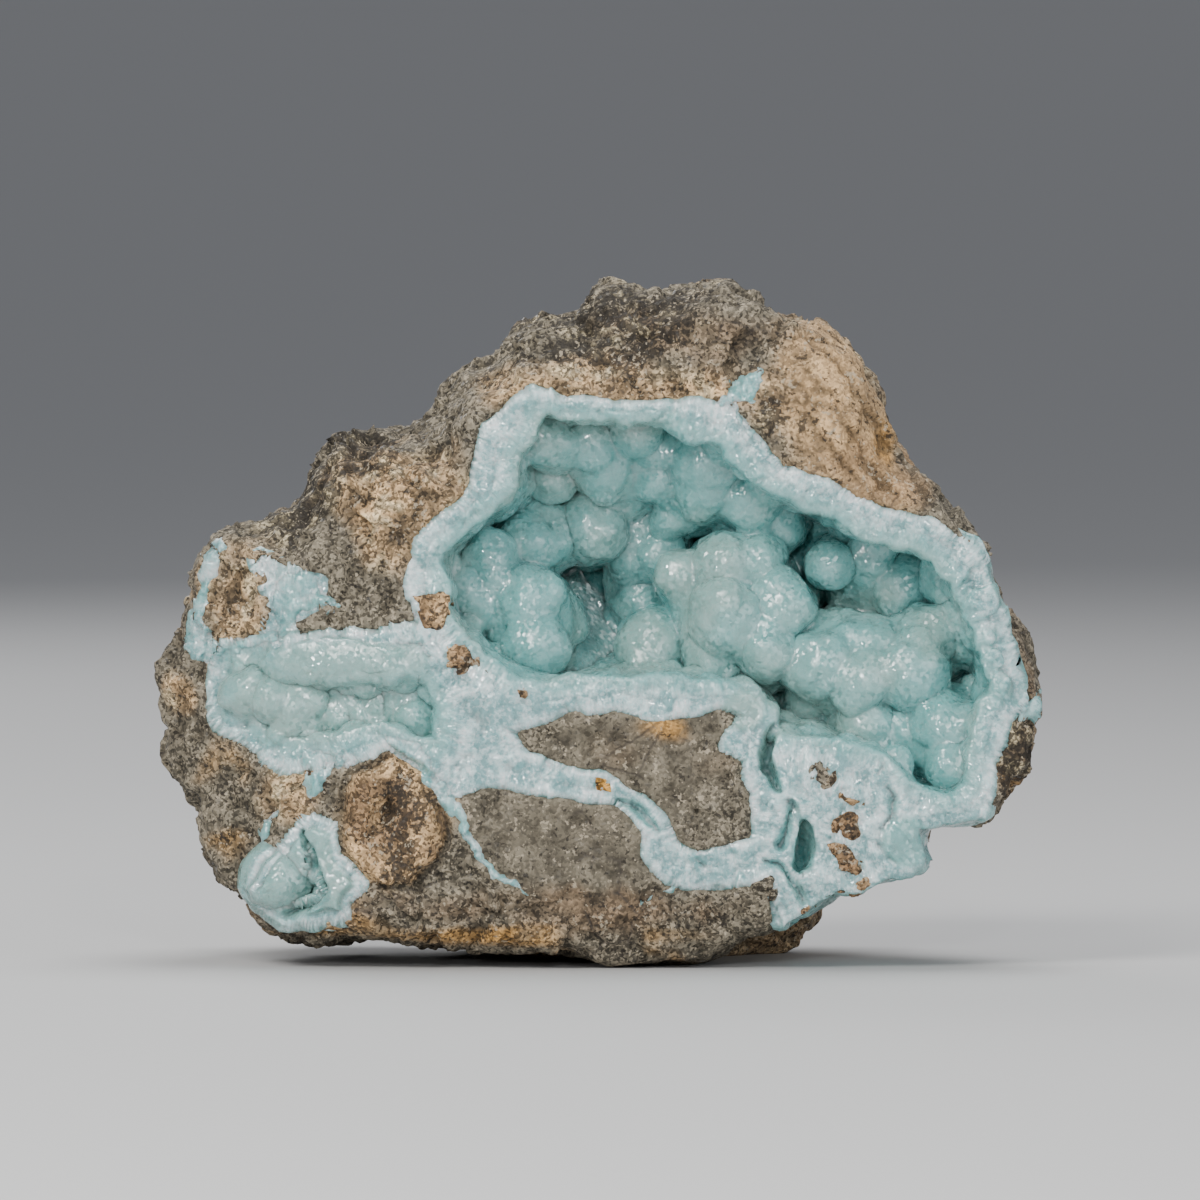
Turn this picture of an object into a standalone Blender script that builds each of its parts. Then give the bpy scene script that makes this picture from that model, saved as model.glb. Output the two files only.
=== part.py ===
"""A hand specimen of hemimorphite: an aqua crust of rounded lumps that lines the hollows of a piece of volcanic rock.

The rock stands on its underside with its broken front face towards -Y. X is its length and Z its height. The outlines
are drawn on the front face in millimetres, X to the right and Z up, and depths run back from the front face.
"""

import math

import bmesh
import bpy
from mathutils import Matrix, Vector, noise
from mathutils.geometry import intersect_line_line_2d

MM = 0.001
GAP = 0.3

# Driving sizes of the rock, in millimetres
FRONT_Y = -30.0
BACK_Y = 30.0
ROCK_CENTRE = (0.0, 42.0)
BACK_SQUARENESS = 2.8
UNDERSIDE_SQUARENESS = 5.0
UNDERSIDE_DROP = 7.5
BASE_FROM_Y, BASE_FULL_Y = -6.0, 19.0
SOFT_SPREAD = 44
FACE_CALM, OUTLINE_CALM = 0.8, 0.8

# The rock's outline as seen from the front, clockwise from the left shoulder
ROCK_OUTLINE = [
    (-51.5, 57.6), (-44.9, 59.6), (-42.3, 61.1), (-39.2, 64.5), (-37.5, 68.4), (-35.5, 70.9), (-33.1, 71.6),
    (-26.0, 71.2), (-22.5, 74.3), (-20.0, 78.0), (-18.3, 79.7), (-13.9, 81.5), (-11.5, 84.3), (-7.2, 86.5),
    (-3.9, 86.8), (-1.7, 89.3), (-1.1, 90.7), (2.9, 91.5), (7.2, 90.5), (14.0, 90.5), (16.8, 91.7),
    (20.0, 89.3), (24.7, 86.8), (28.0, 86.3), (33.2, 82.9), (34.4, 81.1), (36.9, 76.1), (39.5, 69.7),
    (41.6, 66.8), (45.5, 63.3), (48.0, 59.2), (51.1, 56.0), (52.1, 52.3), (53.9, 47.6), (57.1, 45.1),
    (58.3, 39.7), (59.7, 35.3), (58.3, 31.9), (57.1, 27.6), (55.3, 24.4), (53.9, 21.6), (51.1, 20.1),
    (45.1, 19.1), (43.0, 18.4), (43.3, 15.6), (43.7, 13.2), (40.0, 12.0), (34.7, 10.9), (29.7, 9.1),
    (23.7, 5.9), (20.5, 4.3), (17.3, 2.7), (15.2, 0.8), (10.0, 0.3), (1.1, 0.0), (-2.8, 1.6), (-7.6, 3.3),
    (-12.4, 4.0), (-19.9, 3.5), (-26.1, 4.4), (-32.9, 4.5), (-37.3, 3.3), (-43.1, 4.7), (-46.4, 7.1),
    (-50.1, 11.3), (-52.8, 15.5), (-54.1, 20.8), (-55.9, 22.7), (-58.5, 27.7), (-58.3, 31.3),
    (-59.9, 34.5), (-59.3, 39.1), (-57.2, 42.8), (-54.5, 50.5), (-53.6, 53.6),
]

# The edge of the broken front face; between it and the outline the rock slopes back
FACE_OUTLINE = [
    (-52.7, 56.0), (-46.4, 56.6), (-42.9, 53.4), (-35.5, 52.6), (-26.3, 56.0), (-22.3, 60.5), (-17.6, 64.0),
    (-16.8, 69.0), (-14.8, 73.2), (-9.7, 77.2), (1.3, 76.4), (13.3, 76.4), (20.9, 72.0), (24.4, 67.6),
    (30.0, 66.4), (33.5, 63.8), (41.6, 60.2), (46.4, 59.3), (50.0, 55.7), (52.0, 49.1), (55.0, 44.0),
    (58.2, 36.0), (56.7, 29.1), (53.3, 22.4), (44.0, 20.4), (42.2, 14.5), (34.7, 12.2), (27.0, 9.5),
    (20.5, 6.5), (14.0, 3.5), (1.1, 2.6), (-7.6, 5.5), (-19.9, 6.0), (-32.9, 7.0), (-42.0, 7.4),
    (-48.0, 12.0), (-51.0, 18.0), (-54.0, 28.0), (-55.5, 35.0), (-54.0, 44.0), (-53.0, 50.0),
]

# How far back the rock is widest, by the angle around its centre in degrees
WIDEST_Y = [(0, -22), (30, -15), (60, -11), (90, -12), (120, -10), (150, -12), (180, -14), (215, -20),
            (250, -25), (270, -26), (300, -26), (330, -24), (360, -22)]

# Broad forms of the rock behind its outline: x, y, z, reach and height of each swelling or dent
ROCK_FORMS = [
    (-30.0, -14.0, 64.0, 9.0, -3.0), (-37.0, -12.0, 66.0, 7.0, 2.2), (-18.0, -12.0, 74.0, 8.0, -2.0),
    (3.0, -18.0, 84.0, 8.0, -1.6), (16.0, -16.0, 84.0, 7.0, 2.4), (30.0, -20.0, 74.0, 10.0, 1.6),
    (-52.0, -10.0, 24.0, 10.0, -2.2), (-46.0, 8.0, 60.0, 13.0, -4.0), (-20.0, 22.0, 66.0, 15.0, -5.0),
    (20.0, 26.0, 62.0, 17.0, 4.0), (46.0, 8.0, 48.0, 12.0, -3.0), (0.0, 32.0, 30.0, 14.0, -3.5),
    (-34.0, 24.0, 26.0, 14.0, 4.0), (38.0, 20.0, 22.0, 13.0, 3.0), (-4.0, 12.0, 92.0, 12.0, -4.5),
]

# Depth of each hollow behind the front face, to the rock and to the face of its crust
MAIN_ROCK_DEPTH, MAIN_CRUST_DEPTH = 44.0, 37.0
LEFT_ROCK_DEPTH, LEFT_CRUST_DEPTH = 21.0, 15.0
POCKET_ROCK_DEPTH, POCKET_CRUST_DEPTH = 13.0, 9.0
BAND_DEPTH = 6.0
HOLLOW_SQUARENESS = 2.2

# The main hollow: where the rock ends, and where its crust ends
MAIN_CENTRE = (19.3, 52.0)
MAIN_ROCK = [
    (-9.7, 76.7), (-11.5, 75.7), (-14.8, 72.7), (-16.3, 68.3), (-17.2, 64.8), (-19.6, 61.3), (-22.3, 60.0),
    (-24.8, 57.1), (-25.3, 50.4), (-24.0, 43.7), (-22.7, 36.5), (-13.3, 35.1), (-8.9, 33.6), (-2.8, 34.9),
    (6.0, 35.5), (15.2, 35.5), (19.3, 34.5), (21.6, 30.4), (22.0, 12.0), (24.0, 2.0), (46.0, 6.0),
    (50.0, 18.5), (51.5, 22.5), (52.4, 29.0), (54.2, 33.5), (57.6, 36.5), (55.2, 41.3), (53.1, 48.5),
    (51.6, 53.0), (49.0, 56.5), (44.8, 59.2), (38.0, 60.9), (33.5, 62.7), (30.0, 65.2), (24.4, 66.3),
    (20.9, 70.8), (17.0, 74.5), (13.0, 75.4), (1.3, 75.4),
]
MAIN_CRUST = [
    (-8.7, 74.2), (-9.7, 70.5), (-11.7, 68.5), (-11.5, 64.8), (-13.2, 62.4), (-17.9, 58.7), (-20.9, 56.0),
    (-21.4, 52.5), (-20.3, 47.6), (-16.7, 42.4), (-10.7, 38.6), (-5.7, 37.9), (0.0, 38.6), (7.2, 38.8),
    (13.1, 37.9), (19.9, 37.7), (22.8, 34.1), (23.4, 31.0), (26.5, 30.8), (32.3, 29.9), (39.5, 28.0),
    (41.0, 24.5), (45.5, 22.6), (48.7, 24.0), (49.8, 29.1), (50.2, 34.0), (53.0, 37.1), (50.8, 41.3),
    (49.4, 46.5), (46.7, 52.3), (44.4, 55.2), (40.4, 56.7), (35.3, 57.6), (30.9, 60.8), (26.8, 61.7),
    (22.1, 64.0), (18.1, 67.9), (15.7, 70.3), (11.3, 71.5), (8.7, 73.3), (1.2, 72.9),
]

# The left hollow, in the same way
LEFT_CENTRE = (-35.0, 36.0)
LEFT_ROCK = [
    (-51.7, 41.7), (-50.4, 43.7), (-46.7, 43.6), (-42.0, 44.0), (-33.7, 44.3), (-28.7, 45.1), (-24.0, 46.1),
    (-21.3, 43.7), (-14.0, 35.0), (-13.5, 24.4), (-19.5, 23.0), (-23.3, 27.4), (-26.7, 29.4), (-28.7, 29.9),
    (-33.3, 27.0), (-41.3, 26.2), (-45.1, 28.1), (-48.7, 30.7), (-51.5, 32.4), (-52.3, 37.1),
]
LEFT_CRUST = [
    (-49.0, 41.8), (-46.2, 42.0), (-43.6, 40.4), (-39.0, 38.7), (-33.0, 38.2), (-27.0, 38.8), (-23.2, 39.8),
    (-21.8, 37.0), (-20.7, 34.2), (-21.5, 28.9), (-24.0, 30.6), (-28.7, 31.9), (-32.0, 31.4), (-35.5, 30.0),
    (-40.0, 29.6), (-43.6, 30.5), (-46.7, 32.5), (-49.6, 34.6), (-48.8, 38.3),
]

# The pocket at the lower left
POCKET_CENTRE = (-38.6, 12.0)
POCKET_ROCK = [
    (-38.3, 20.3), (-34.7, 19.1), (-34.1, 14.9), (-30.8, 11.1), (-32.9, 8.9), (-32.9, 6.8), (-41.9, 5.6),
    (-46.0, 7.9), (-46.4, 10.4), (-44.8, 14.0), (-43.3, 15.2),
]
POCKET_CRUST = [(-38.6, 16.8), (-37.2, 12.5), (-35.6, 9.4), (-38.0, 8.2), (-42.4, 7.4), (-41.6, 10.2), (-39.8, 12.6)]

# The bands of crust around the middle slab of rock, and the frosted strip beside the upper left island
BAND_OUTLINE = [
    (-21.3, 36.5), (-20.5, 23.3), (-15.5, 24.4), (-11.3, 23.7), (-6.3, 23.1), (-2.1, 22.0), (1.6, 22.0),
    (6.0, 18.5), (6.1, 14.1), (7.3, 12.5), (10.8, 10.8), (15.5, 10.6), (18.5, 11.5), (22.7, 10.8),
    (25.0, 8.0), (27.0, 31.0), (19.5, 38.0), (-8.0, 37.0),
]
MIDDLE_SLAB = [
    (-12.0, 31.5), (-8.9, 32.9), (-2.8, 34.5), (2.9, 34.8), (6.0, 33.2), (12.4, 33.9), (15.2, 35.0),
    (18.9, 34.3), (16.1, 31.2), (15.2, 28.6), (19.2, 27.5), (20.4, 23.3), (20.1, 17.2), (13.1, 16.0),
    (10.0, 16.5), (9.3, 19.3), (7.3, 21.6), (2.5, 25.3), (-2.8, 26.3), (-10.4, 28.4),
]
FROSTED_STRIP = [
    (-46.5, 56.4), (-42.4, 53.1), (-35.5, 52.3), (-35.5, 48.2), (-38.8, 47.2), (-40.5, 46.1), (-40.8, 42.0),
    (-44.6, 42.0), (-43.1, 47.5), (-43.3, 51.2),
]

# Rounded lumps of the crust: x, depth of the front of the lump, z, its radius, and its length front to back
# as a share of its width, which roots the ones that stand forward in the wall behind them
MAIN_LUMPS = [
    (-6.0, 7.0, 69.6, 3.6, 1.3), (-1.0, 9.0, 69.0, 3.0, 1.3), (4.9, 8.0, 71.2, 2.8, 1.3),
    (0.8, 11.0, 66.8, 4.4, 1.6), (7.5, 11.0, 68.3, 2.4, 1.8), (7.5, 12.0, 64.4, 2.6, 1.8),
    (14.0, 8.0, 66.8, 4.4, 1.8), (14.0, 9.5, 64.1, 4.0, 1.8), (20.1, 10.0, 62.1, 3.8, 1.8),
    (23.6, 13.0, 58.7, 3.2, 2.0), (9.6, 15.0, 59.3, 2.4, 3.0), (-0.9, 14.0, 58.0, 4.1, 3.2),
    (-9.1, 12.0, 56.3, 3.6, 2.2), (-14.5, 9.0, 54.5, 3.2, 1.7), (-9.5, 7.0, 48.5, 4.6, 2.4),
    (-8.4, 5.5, 42.9, 4.0, 2.2), (3.9, 20.0, 53.2, 2.6, 2.4), (4.9, 21.0, 48.1, 3.2, 2.2),
    (8.0, 17.0, 54.5, 2.8, 2.6), (-1.6, 30.0, 49.0, 3.2, 1.4), (-0.5, 31.0, 44.4, 3.2, 1.4),
    (7.2, 12.0, 42.4, 4.2, 2.6), (11.3, 11.0, 51.2, 3.2, 3.4), (16.8, 8.5, 53.2, 3.9, 3.4),
    (21.2, 8.5, 53.9, 3.1, 3.6), (24.9, 6.5, 47.7, 3.5, 3.6), (17.5, 5.5, 46.1, 5.2, 2.9),
    (22.5, 5.5, 41.7, 3.5, 3.4), (14.8, 8.5, 40.9, 3.1, 3.2), (30.5, 11.0, 53.2, 2.8, 3.6),
    (30.9, 19.0, 56.4, 3.8, 2.0), (35.3, 14.0, 52.7, 3.0, 3.0), (40.1, 13.0, 50.1, 3.7, 2.4),
    (29.1, 5.0, 39.7, 4.3, 3.0), (35.3, 7.0, 42.3, 3.9, 3.2), (34.7, 4.5, 38.4, 3.6, 3.2),
    (41.3, 4.5, 39.1, 4.6, 2.6), (43.5, 8.0, 43.7, 3.4, 2.6), (47.3, 13.0, 42.3, 2.9, 1.8),
    (37.2, 12.0, 56.4, 2.6, 1.8), (46.4, 9.0, 51.6, 3.0, 1.5), (48.3, 8.0, 46.7, 2.4, 1.5),
    (27.5, 13.0, 33.5, 3.6, 2.2), (35.3, 6.0, 32.0, 3.6, 2.4), (38.1, 7.0, 29.9, 3.0, 2.4),
    (41.1, 7.5, 31.3, 2.3, 2.4), (45.5, 3.5, 32.4, 3.8, 2.0), (48.0, 3.5, 32.0, 3.1, 1.8),
    (46.7, 2.5, 26.7, 3.2, 1.8),
]
# Cores that carry the lumps: the two large bosses, the masses on the back wall and the swollen floor
BOSS_CORES = [
    (18.0, 8.5, 47.0, 8.6, 2.0), (22.0, 9.5, 43.0, 6.5, 2.4), (31.5, 7.5, 40.4, 6.2, 2.6), (40.0, 7.0, 39.8, 6.2, 2.6),
    (36.5, 15.5, 52.0, 6.4, 1.8), (28.0, 22.0, 53.0, 6.5, 1.4), (3.0, 14.0, 66.0, 6.2, 1.8), (13.0, 12.0, 65.0, 7.2, 1.8),
    (21.5, 14.0, 60.5, 6.0, 1.8), (-1.5, 17.0, 58.5, 5.4, 2.0), (-8.5, 15.0, 57.0, 5.4, 1.8), (6.5, 18.5, 57.0, 5.4, 1.9),
    (6.5, 22.0, 49.0, 5.4, 1.4), (-9.3, 8.5, 46.0, 6.2, 2.0), (-15.0, 9.5, 49.0, 6.0, 1.6), (8.5, 14.0, 41.0, 5.0, 2.0),
    (28.0, 15.0, 33.5, 5.6, 1.6), (36.0, 9.0, 31.0, 6.4, 1.8), (45.5, 6.0, 30.0, 5.8, 1.8), (46.0, 14.0, 44.0, 5.5, 1.5),
]
LEFT_LUMPS = [
    (-46.7, 3.5, 36.7, 2.6, 1.8), (-43.6, 2.5, 35.6, 2.4, 2.0), (-40.9, 3.0, 34.3, 3.5, 2.0),
    (-33.5, 5.0, 35.6, 3.1, 2.0), (-37.2, 5.0, 33.5, 2.8, 2.2), (-26.0, 3.0, 36.3, 3.6, 2.0),
    (-24.3, 2.5, 33.2, 2.8, 2.0), (-29.6, 4.5, 33.6, 3.0, 2.2), (-44.0, 8.0, 38.9, 2.8, 1.4),
    (-30.0, 8.0, 37.8, 2.8, 1.4), (-36.5, 9.0, 38.4, 3.0, 1.2),
]
POCKET_LUMPS = [
    (-42.9, 1.5, 11.6, 3.6, 1.2), (-36.6, 1.5, 13.8, 2.4, 1.4), (-35.6, 2.5, 8.6, 2.4, 1.4),
    (-40.0, 6.0, 15.6, 1.8, 1.2),
]
# The small open gap in the crust at the lower right
SMALL_GAP = (26.6, 16.3, 2.0, 4.6, 7.0)

BLOCK_FACES = 3250
HOLLOW_FACES = 620
VOID_FACES = 3620
POCKET_FACES = 210

COLOURS = {
    "matrix": (0.24, 0.19, 0.14, 1.0),
    "main_crust": (0.24, 0.47, 0.47, 1.0),
    "pocket_crust": (0.30, 0.50, 0.49, 1.0),
}
ROUGHNESS = {"matrix": 0.9, "main_crust": 0.3, "pocket_crust": 0.35}


def clear_scene():
    for obj in list(bpy.data.objects):
        bpy.data.objects.remove(obj)


def new_collection(name):
    collection = bpy.data.collections.new(name)
    bpy.context.scene.collection.children.link(collection)
    return collection


def new_object(name, mesh, collection):
    obj = bpy.data.objects.new(name, mesh)
    collection.objects.link(obj)
    return obj


def mesh_from(bm, name):
    mesh = bpy.data.meshes.new(name)
    bm.to_mesh(mesh)
    bm.free()
    return mesh


def settle(obj):
    """Makes the object's modifiers part of its mesh."""
    graph = bpy.context.evaluated_depsgraph_get()
    mesh = bpy.data.meshes.new_from_object(obj.evaluated_get(graph))
    obj.modifiers.clear()
    obj.data = mesh


def remesh(obj, voxel, smoothing=0):
    modifier = obj.modifiers.new("Remesh", "REMESH")
    modifier.mode = "VOXEL"
    modifier.voxel_size = voxel * MM
    if smoothing:
        smooth = obj.modifiers.new("Smooth", "SMOOTH")
        smooth.factor = 0.5
        smooth.iterations = smoothing
    settle(obj)


def thin_out(obj, faces):
    """Lowers the face count to about the number given."""
    triangles = sum(len(polygon.vertices) - 2 for polygon in obj.data.polygons)
    modifier = obj.modifiers.new("Decimate", "DECIMATE")
    modifier.ratio = min(1.0, faces / triangles)
    modifier.use_collapse_triangulate = True
    settle(obj)


def combine(obj, operation, other):
    modifier = obj.modifiers.new("Boolean", "BOOLEAN")
    modifier.operation = operation
    modifier.object = other
    settle(obj)


def grow(obj, distance):
    """Moves every face outwards by the distance, in millimetres, and corners by as much more as they need."""
    bm = bmesh.new()
    bm.from_mesh(obj.data)
    bm.normal_update()
    moves = [vert.normal * distance * MM * min(2.5, vert.calc_shell_factor()) for vert in bm.verts]
    for vert, move in zip(bm.verts, moves):
        vert.co += move
    bm.to_mesh(obj.data)
    bm.free()


def bodies_of(bm):
    """The mesh's separate bodies as lists of vertices, the smallest first."""
    seen = set()
    bodies = []
    for start in bm.verts:
        if start in seen:
            continue
        body = [start]
        seen.add(start)
        for vert in body:
            for edge in vert.link_edges:
                other = edge.other_vert(vert)
                if other not in seen:
                    seen.add(other)
                    body.append(other)
        bodies.append(body)
    return sorted(bodies, key=len)


def drop_crumbs(obj, keep):
    """Drops each separate body that the keep function turns down."""
    bm = bmesh.new()
    bm.from_mesh(obj.data)
    bmesh.ops.remove_doubles(bm, verts=bm.verts, dist=0.00001)
    bmesh.ops.dissolve_degenerate(bm, edges=bm.edges, dist=0.00001)
    bodies = bodies_of(bm)
    crumbs = [vert for body in bodies if not keep(body, bodies) for vert in body]
    bmesh.ops.delete(bm, geom=crumbs, context="VERTS")
    bmesh.ops.triangulate(bm, faces=bm.faces)
    bm.to_mesh(obj.data)
    bm.free()


def is_largest(body, bodies):
    return body is bodies[-1]


def is_open_in_front(body, bodies):
    return min(vert.co.y for vert in body) < (FRONT_Y - 4.0) * MM


def reach(outline, centre, angle):
    """Distance from the centre to the outline in a direction, the furthest if there are several."""
    far = Vector((centre[0] + 200 * math.cos(angle), centre[1] + 200 * math.sin(angle)))
    start = Vector(centre)
    best = 0.0
    for a, b in zip(outline, outline[1:] + outline[:1]):
        hit = intersect_line_line_2d(start, far, Vector(a), Vector(b))
        if hit is not None:
            best = max(best, (hit - start).length)
    return best


def around(values):
    """Reads values kept at even angles, with a straight blend between two of them."""

    def at(angle):
        place = (angle / (2 * math.pi) * len(values)) % len(values)
        low = int(place)
        share = place - low
        return values[low % len(values)] * (1 - share) + values[(low + 1) % len(values)] * share

    return at


def reach_values(outline, centre, steps=1440):
    return [reach(outline, centre, 2 * math.pi * i / steps) for i in range(steps)]


def softened(values, spread):
    """The same reaches without their bumps, and never beyond them by more than a little."""
    count = len(values)
    low = [min(values[(i + k) % count] for k in range(-spread, spread + 1, 4)) for i in range(count)]
    return [sum(low[(i + k) % count] for k in range(-spread, spread + 1)) / (2 * spread + 1) for i in range(count)]


def blend_table(pairs, value):
    """Reads a table of pairs with a straight blend between its rows."""
    for (a, at_a), (b, at_b) in zip(pairs, pairs[1:]):
        if a <= value <= b:
            return at_a + (at_b - at_a) * (value - a) / (b - a)
    return pairs[-1][1]


def ease(low, high, value):
    share = min(1.0, max(0.0, (value - low) / (high - low)))
    return share * share * (3 - 2 * share)


def rock_noise(place):
    """Height of the rock's lumps, ledges, ridges and pits at a place in millimetres."""
    lumps = noise.fractal(place / 13.0, 1.0, 2.0, 3)
    ridges = 1.0 - abs(noise.noise(place / 7.5 + Vector((9.0, 4.0, 2.0)))) * 2.0
    pits = min(0.0, noise.noise(place / 6.0 + Vector((3.0, 7.0, 1.0))) + 0.2)
    steps = noise.noise(place / 17.0 + Vector((5.0, 1.0, 8.0))) * 3.0
    ledge = math.floor(steps) + ease(0.3, 0.7, steps - math.floor(steps))
    return 1.6 * lumps + 0.8 * ridges + 2.0 * pits + 1.5 * ledge


def front_face(x, z):
    """Where the broken front face stands, with its gentle steps and its turn at either side."""
    away_left = max(0.0, -x - 24.0)
    away_right = max(0.0, x - 44.0)
    wave = noise.noise(Vector((x / 22.0, 0.5, z / 22.0)))
    chips = noise.noise(Vector((x / 6.0, 3.5, z / 6.0)))
    lower = max(0.0, 14.0 - z)
    return FRONT_Y + 0.010 * away_left ** 2 + 0.02 * away_right ** 2 + 0.012 * lower ** 2 + 1.0 * wave + 0.4 * chips


def make_block(collection):
    """The whole lump of rock, before its hollows are opened."""
    bm = bmesh.new()
    bmesh.ops.create_icosphere(bm, subdivisions=7, radius=1.0)
    outline_values = reach_values(ROCK_OUTLINE, ROCK_CENTRE)
    outline = around(outline_values)
    soft_outline = around(softened(outline_values, SOFT_SPREAD))
    face = around(reach_values(FACE_OUTLINE, ROCK_CENTRE))
    face_share = 0.66
    for vert in bm.verts:
        direction = vert.co.copy()
        angle = math.atan2(direction.z, direction.x) % (2 * math.pi)
        turn = math.acos(max(-1.0, min(1.0, -direction.y))) / (math.pi / 2)
        wide = outline(angle)
        rim = min(face(angle), wide - 0.6)
        widest_y = blend_table(WIDEST_Y, math.degrees(angle))
        if turn <= face_share:
            radius = rim * turn / face_share
        elif turn <= 1.0:
            radius = rim + (wide - rim) * math.sin((turn - face_share) / (1 - face_share) * math.pi / 2)
        else:
            low_part = ease(0.25, 0.9, -math.sin(angle))
            square = BACK_SQUARENESS + (UNDERSIDE_SQUARENESS - BACK_SQUARENESS) * low_part
            swing = (turn - 1.0) * math.pi / 2
            behind = ease(0.0, 0.3, turn - 1.0)
            wide = wide * (1 - behind) + soft_outline(angle) * behind
            radius = wide * max(0.0, math.cos(swing)) ** (2 / square)
        x = ROCK_CENTRE[0] + radius * math.cos(angle)
        z = ROCK_CENTRE[1] + radius * math.sin(angle)
        if turn <= face_share:
            y = front_face(x, z)
        elif turn <= 1.0:
            start = front_face(x, z)
            lean = 1 - math.cos((turn - face_share) / (1 - face_share) * math.pi / 2)
            y = start + (max(widest_y, start + 2.0) - start) * lean
        else:
            start = max(widest_y, front_face(x, z) + 2.0)
            y = start + (BACK_Y - start) * math.sin(swing) ** (2 / square)
            z -= UNDERSIDE_DROP * low_part * ease(BASE_FROM_Y, BASE_FULL_Y, y)
        place = Vector((x, y, z))
        vert.co = place
    bm.normal_update()
    moves = []
    for vert in bm.verts:
        place = vert.co
        on_face = 1.0 - ease(0.0, 7.0, place.y - front_face(place.x, place.z))
        at_outline = 1.0 - ease(0.0, 9.0, abs(place.y + 18.0))
        height = rock_noise(place) * (1.0 - FACE_CALM * on_face) * (1.0 - OUTLINE_CALM * at_outline)
        for fx, fy, fz, size, rise in ROCK_FORMS:
            away = (place - Vector((fx, fy, fz))).length / size
            height += rise * math.exp(-away * away)
        moves.append(vert.normal * height)
    for vert, move in zip(bm.verts, moves):
        vert.co = (vert.co + move) * MM
    block = new_object("block", mesh_from(bm, "block"), collection)
    remesh(block, 1.0)
    thin_out(block, BLOCK_FACES)
    bm = bmesh.new()
    bm.from_mesh(block.data)
    geometry = list(bm.verts) + list(bm.edges) + list(bm.faces)
    cut = bmesh.ops.bisect_plane(bm, geom=geometry, plane_co=(0, 0, 0), plane_no=(0, 0, -1), clear_outer=True)
    rim_edges = [item for item in cut["geom_cut"] if isinstance(item, bmesh.types.BMEdge)]
    bmesh.ops.holes_fill(bm, edges=rim_edges)
    bmesh.ops.triangulate(bm, faces=bm.faces)
    bm.to_mesh(block.data)
    bm.free()
    return block


def add_hollow(bm, outline, centre, depth):
    """A bowl behind the outline, which runs out in front of the front face."""
    at = around(reach_values(outline, centre))
    made = bmesh.ops.create_icosphere(bm, subdivisions=6, radius=1.0)
    for vert in made["verts"]:
        direction = vert.co.copy()
        angle = math.atan2(direction.z, direction.x) % (2 * math.pi)
        turn = math.acos(max(-1.0, min(1.0, -direction.y))) / (math.pi / 2)
        if turn <= 1.0:
            radius = at(angle) * min(1.0, turn * 1.6)
            y = FRONT_Y - 9.0 * min(1.0, (1.0 - turn) * 4.0)
        else:
            swing = (turn - 1.0) * math.pi / 2
            radius = at(angle) * max(0.0, math.cos(swing)) ** (2 / HOLLOW_SQUARENESS)
            y = FRONT_Y + depth * math.sin(swing) ** (2 / HOLLOW_SQUARENESS)
        vert.co = Vector((centre[0] + radius * math.cos(angle), y, centre[1] + radius * math.sin(angle))) * MM


def add_slab(bm, loops, depth):
    """A flat outline, with its inner loops left open, from in front of the front face to the depth."""
    front, back = FRONT_Y - 9.0, FRONT_Y + depth
    curve = bpy.data.curves.new("slab", "CURVE")
    curve.dimensions = "2D"
    curve.fill_mode = "BOTH"
    curve.extrude = (back - front) / 2 * MM
    for loop in loops:
        spline = curve.splines.new("POLY")
        spline.points.add(len(loop) - 1)
        for point, (x, z) in zip(spline.points, loop):
            point.co = (x * MM, z * MM, 0.0, 1.0)
        spline.use_cyclic_u = True
    obj = bpy.data.objects.new("slab", curve)
    bpy.context.scene.collection.objects.link(obj)
    graph = bpy.context.evaluated_depsgraph_get()
    mesh = bpy.data.meshes.new_from_object(obj.evaluated_get(graph))
    bpy.data.objects.remove(obj)
    part = bmesh.new()
    part.from_mesh(mesh)
    bmesh.ops.remove_doubles(part, verts=part.verts, dist=0.00001)
    for vert in part.verts:
        x, z, y = vert.co
        vert.co = (x, y + (front + back) / 2 * MM, z)
    bmesh.ops.recalc_face_normals(part, faces=part.faces)
    part.to_mesh(mesh)
    part.free()
    bm.from_mesh(mesh)


def add_lumps(bm, lumps):
    """Rounded lumps, each with its front at its depth."""
    for x, front, z, radius, stretch in lumps:
        made = bmesh.ops.create_icosphere(bm, subdivisions=3, radius=1.0)
        half = radius * stretch
        for vert in made["verts"]:
            along = vert.co.y * (radius if vert.co.y < 0 else 2 * half - radius)
            place = Vector((x + vert.co.x * radius, FRONT_Y + front + radius + along, z + vert.co.z * radius))
            vert.co = place * MM


def make_hollows(collection, name, hollows, slabs, voxel, faces):
    bm = bmesh.new()
    for outline, centre, depth in hollows:
        add_hollow(bm, outline, centre, depth)
    for loops in slabs:
        add_slab(bm, loops, BAND_DEPTH)
    obj = new_object(name, mesh_from(bm, name), collection)
    remesh(obj, voxel, smoothing=4)
    thin_out(obj, faces)
    return obj


def make_void(collection, name, hollows, lumps, gap, voxel, faces):
    """The open space in front of a crust: its bowls, less the lumps that stand in them."""
    bm = bmesh.new()
    for outline, centre, depth in hollows:
        add_hollow(bm, outline, centre, depth)
    if gap:
        x, z, half_width, half_height, depth = gap
        made = bmesh.ops.create_icosphere(bm, subdivisions=3, radius=1.0)
        for vert in made["verts"]:
            place = Vector((x + vert.co.x * half_width, FRONT_Y + vert.co.y * depth, z + vert.co.z * half_height))
            vert.co = place * MM
    void = new_object(name, mesh_from(bm, name), collection)
    remesh(void, voxel)
    bm = bmesh.new()
    add_lumps(bm, lumps)
    solid = new_object(name + "_lumps", mesh_from(bm, name + "_lumps"), collection)
    remesh(solid, voxel, smoothing=2)
    combine(void, "DIFFERENCE", solid)
    remesh(void, voxel, smoothing=2)
    drop_crumbs(void, is_open_in_front)
    thin_out(void, faces)
    bpy.data.objects.remove(solid)
    return void


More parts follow.
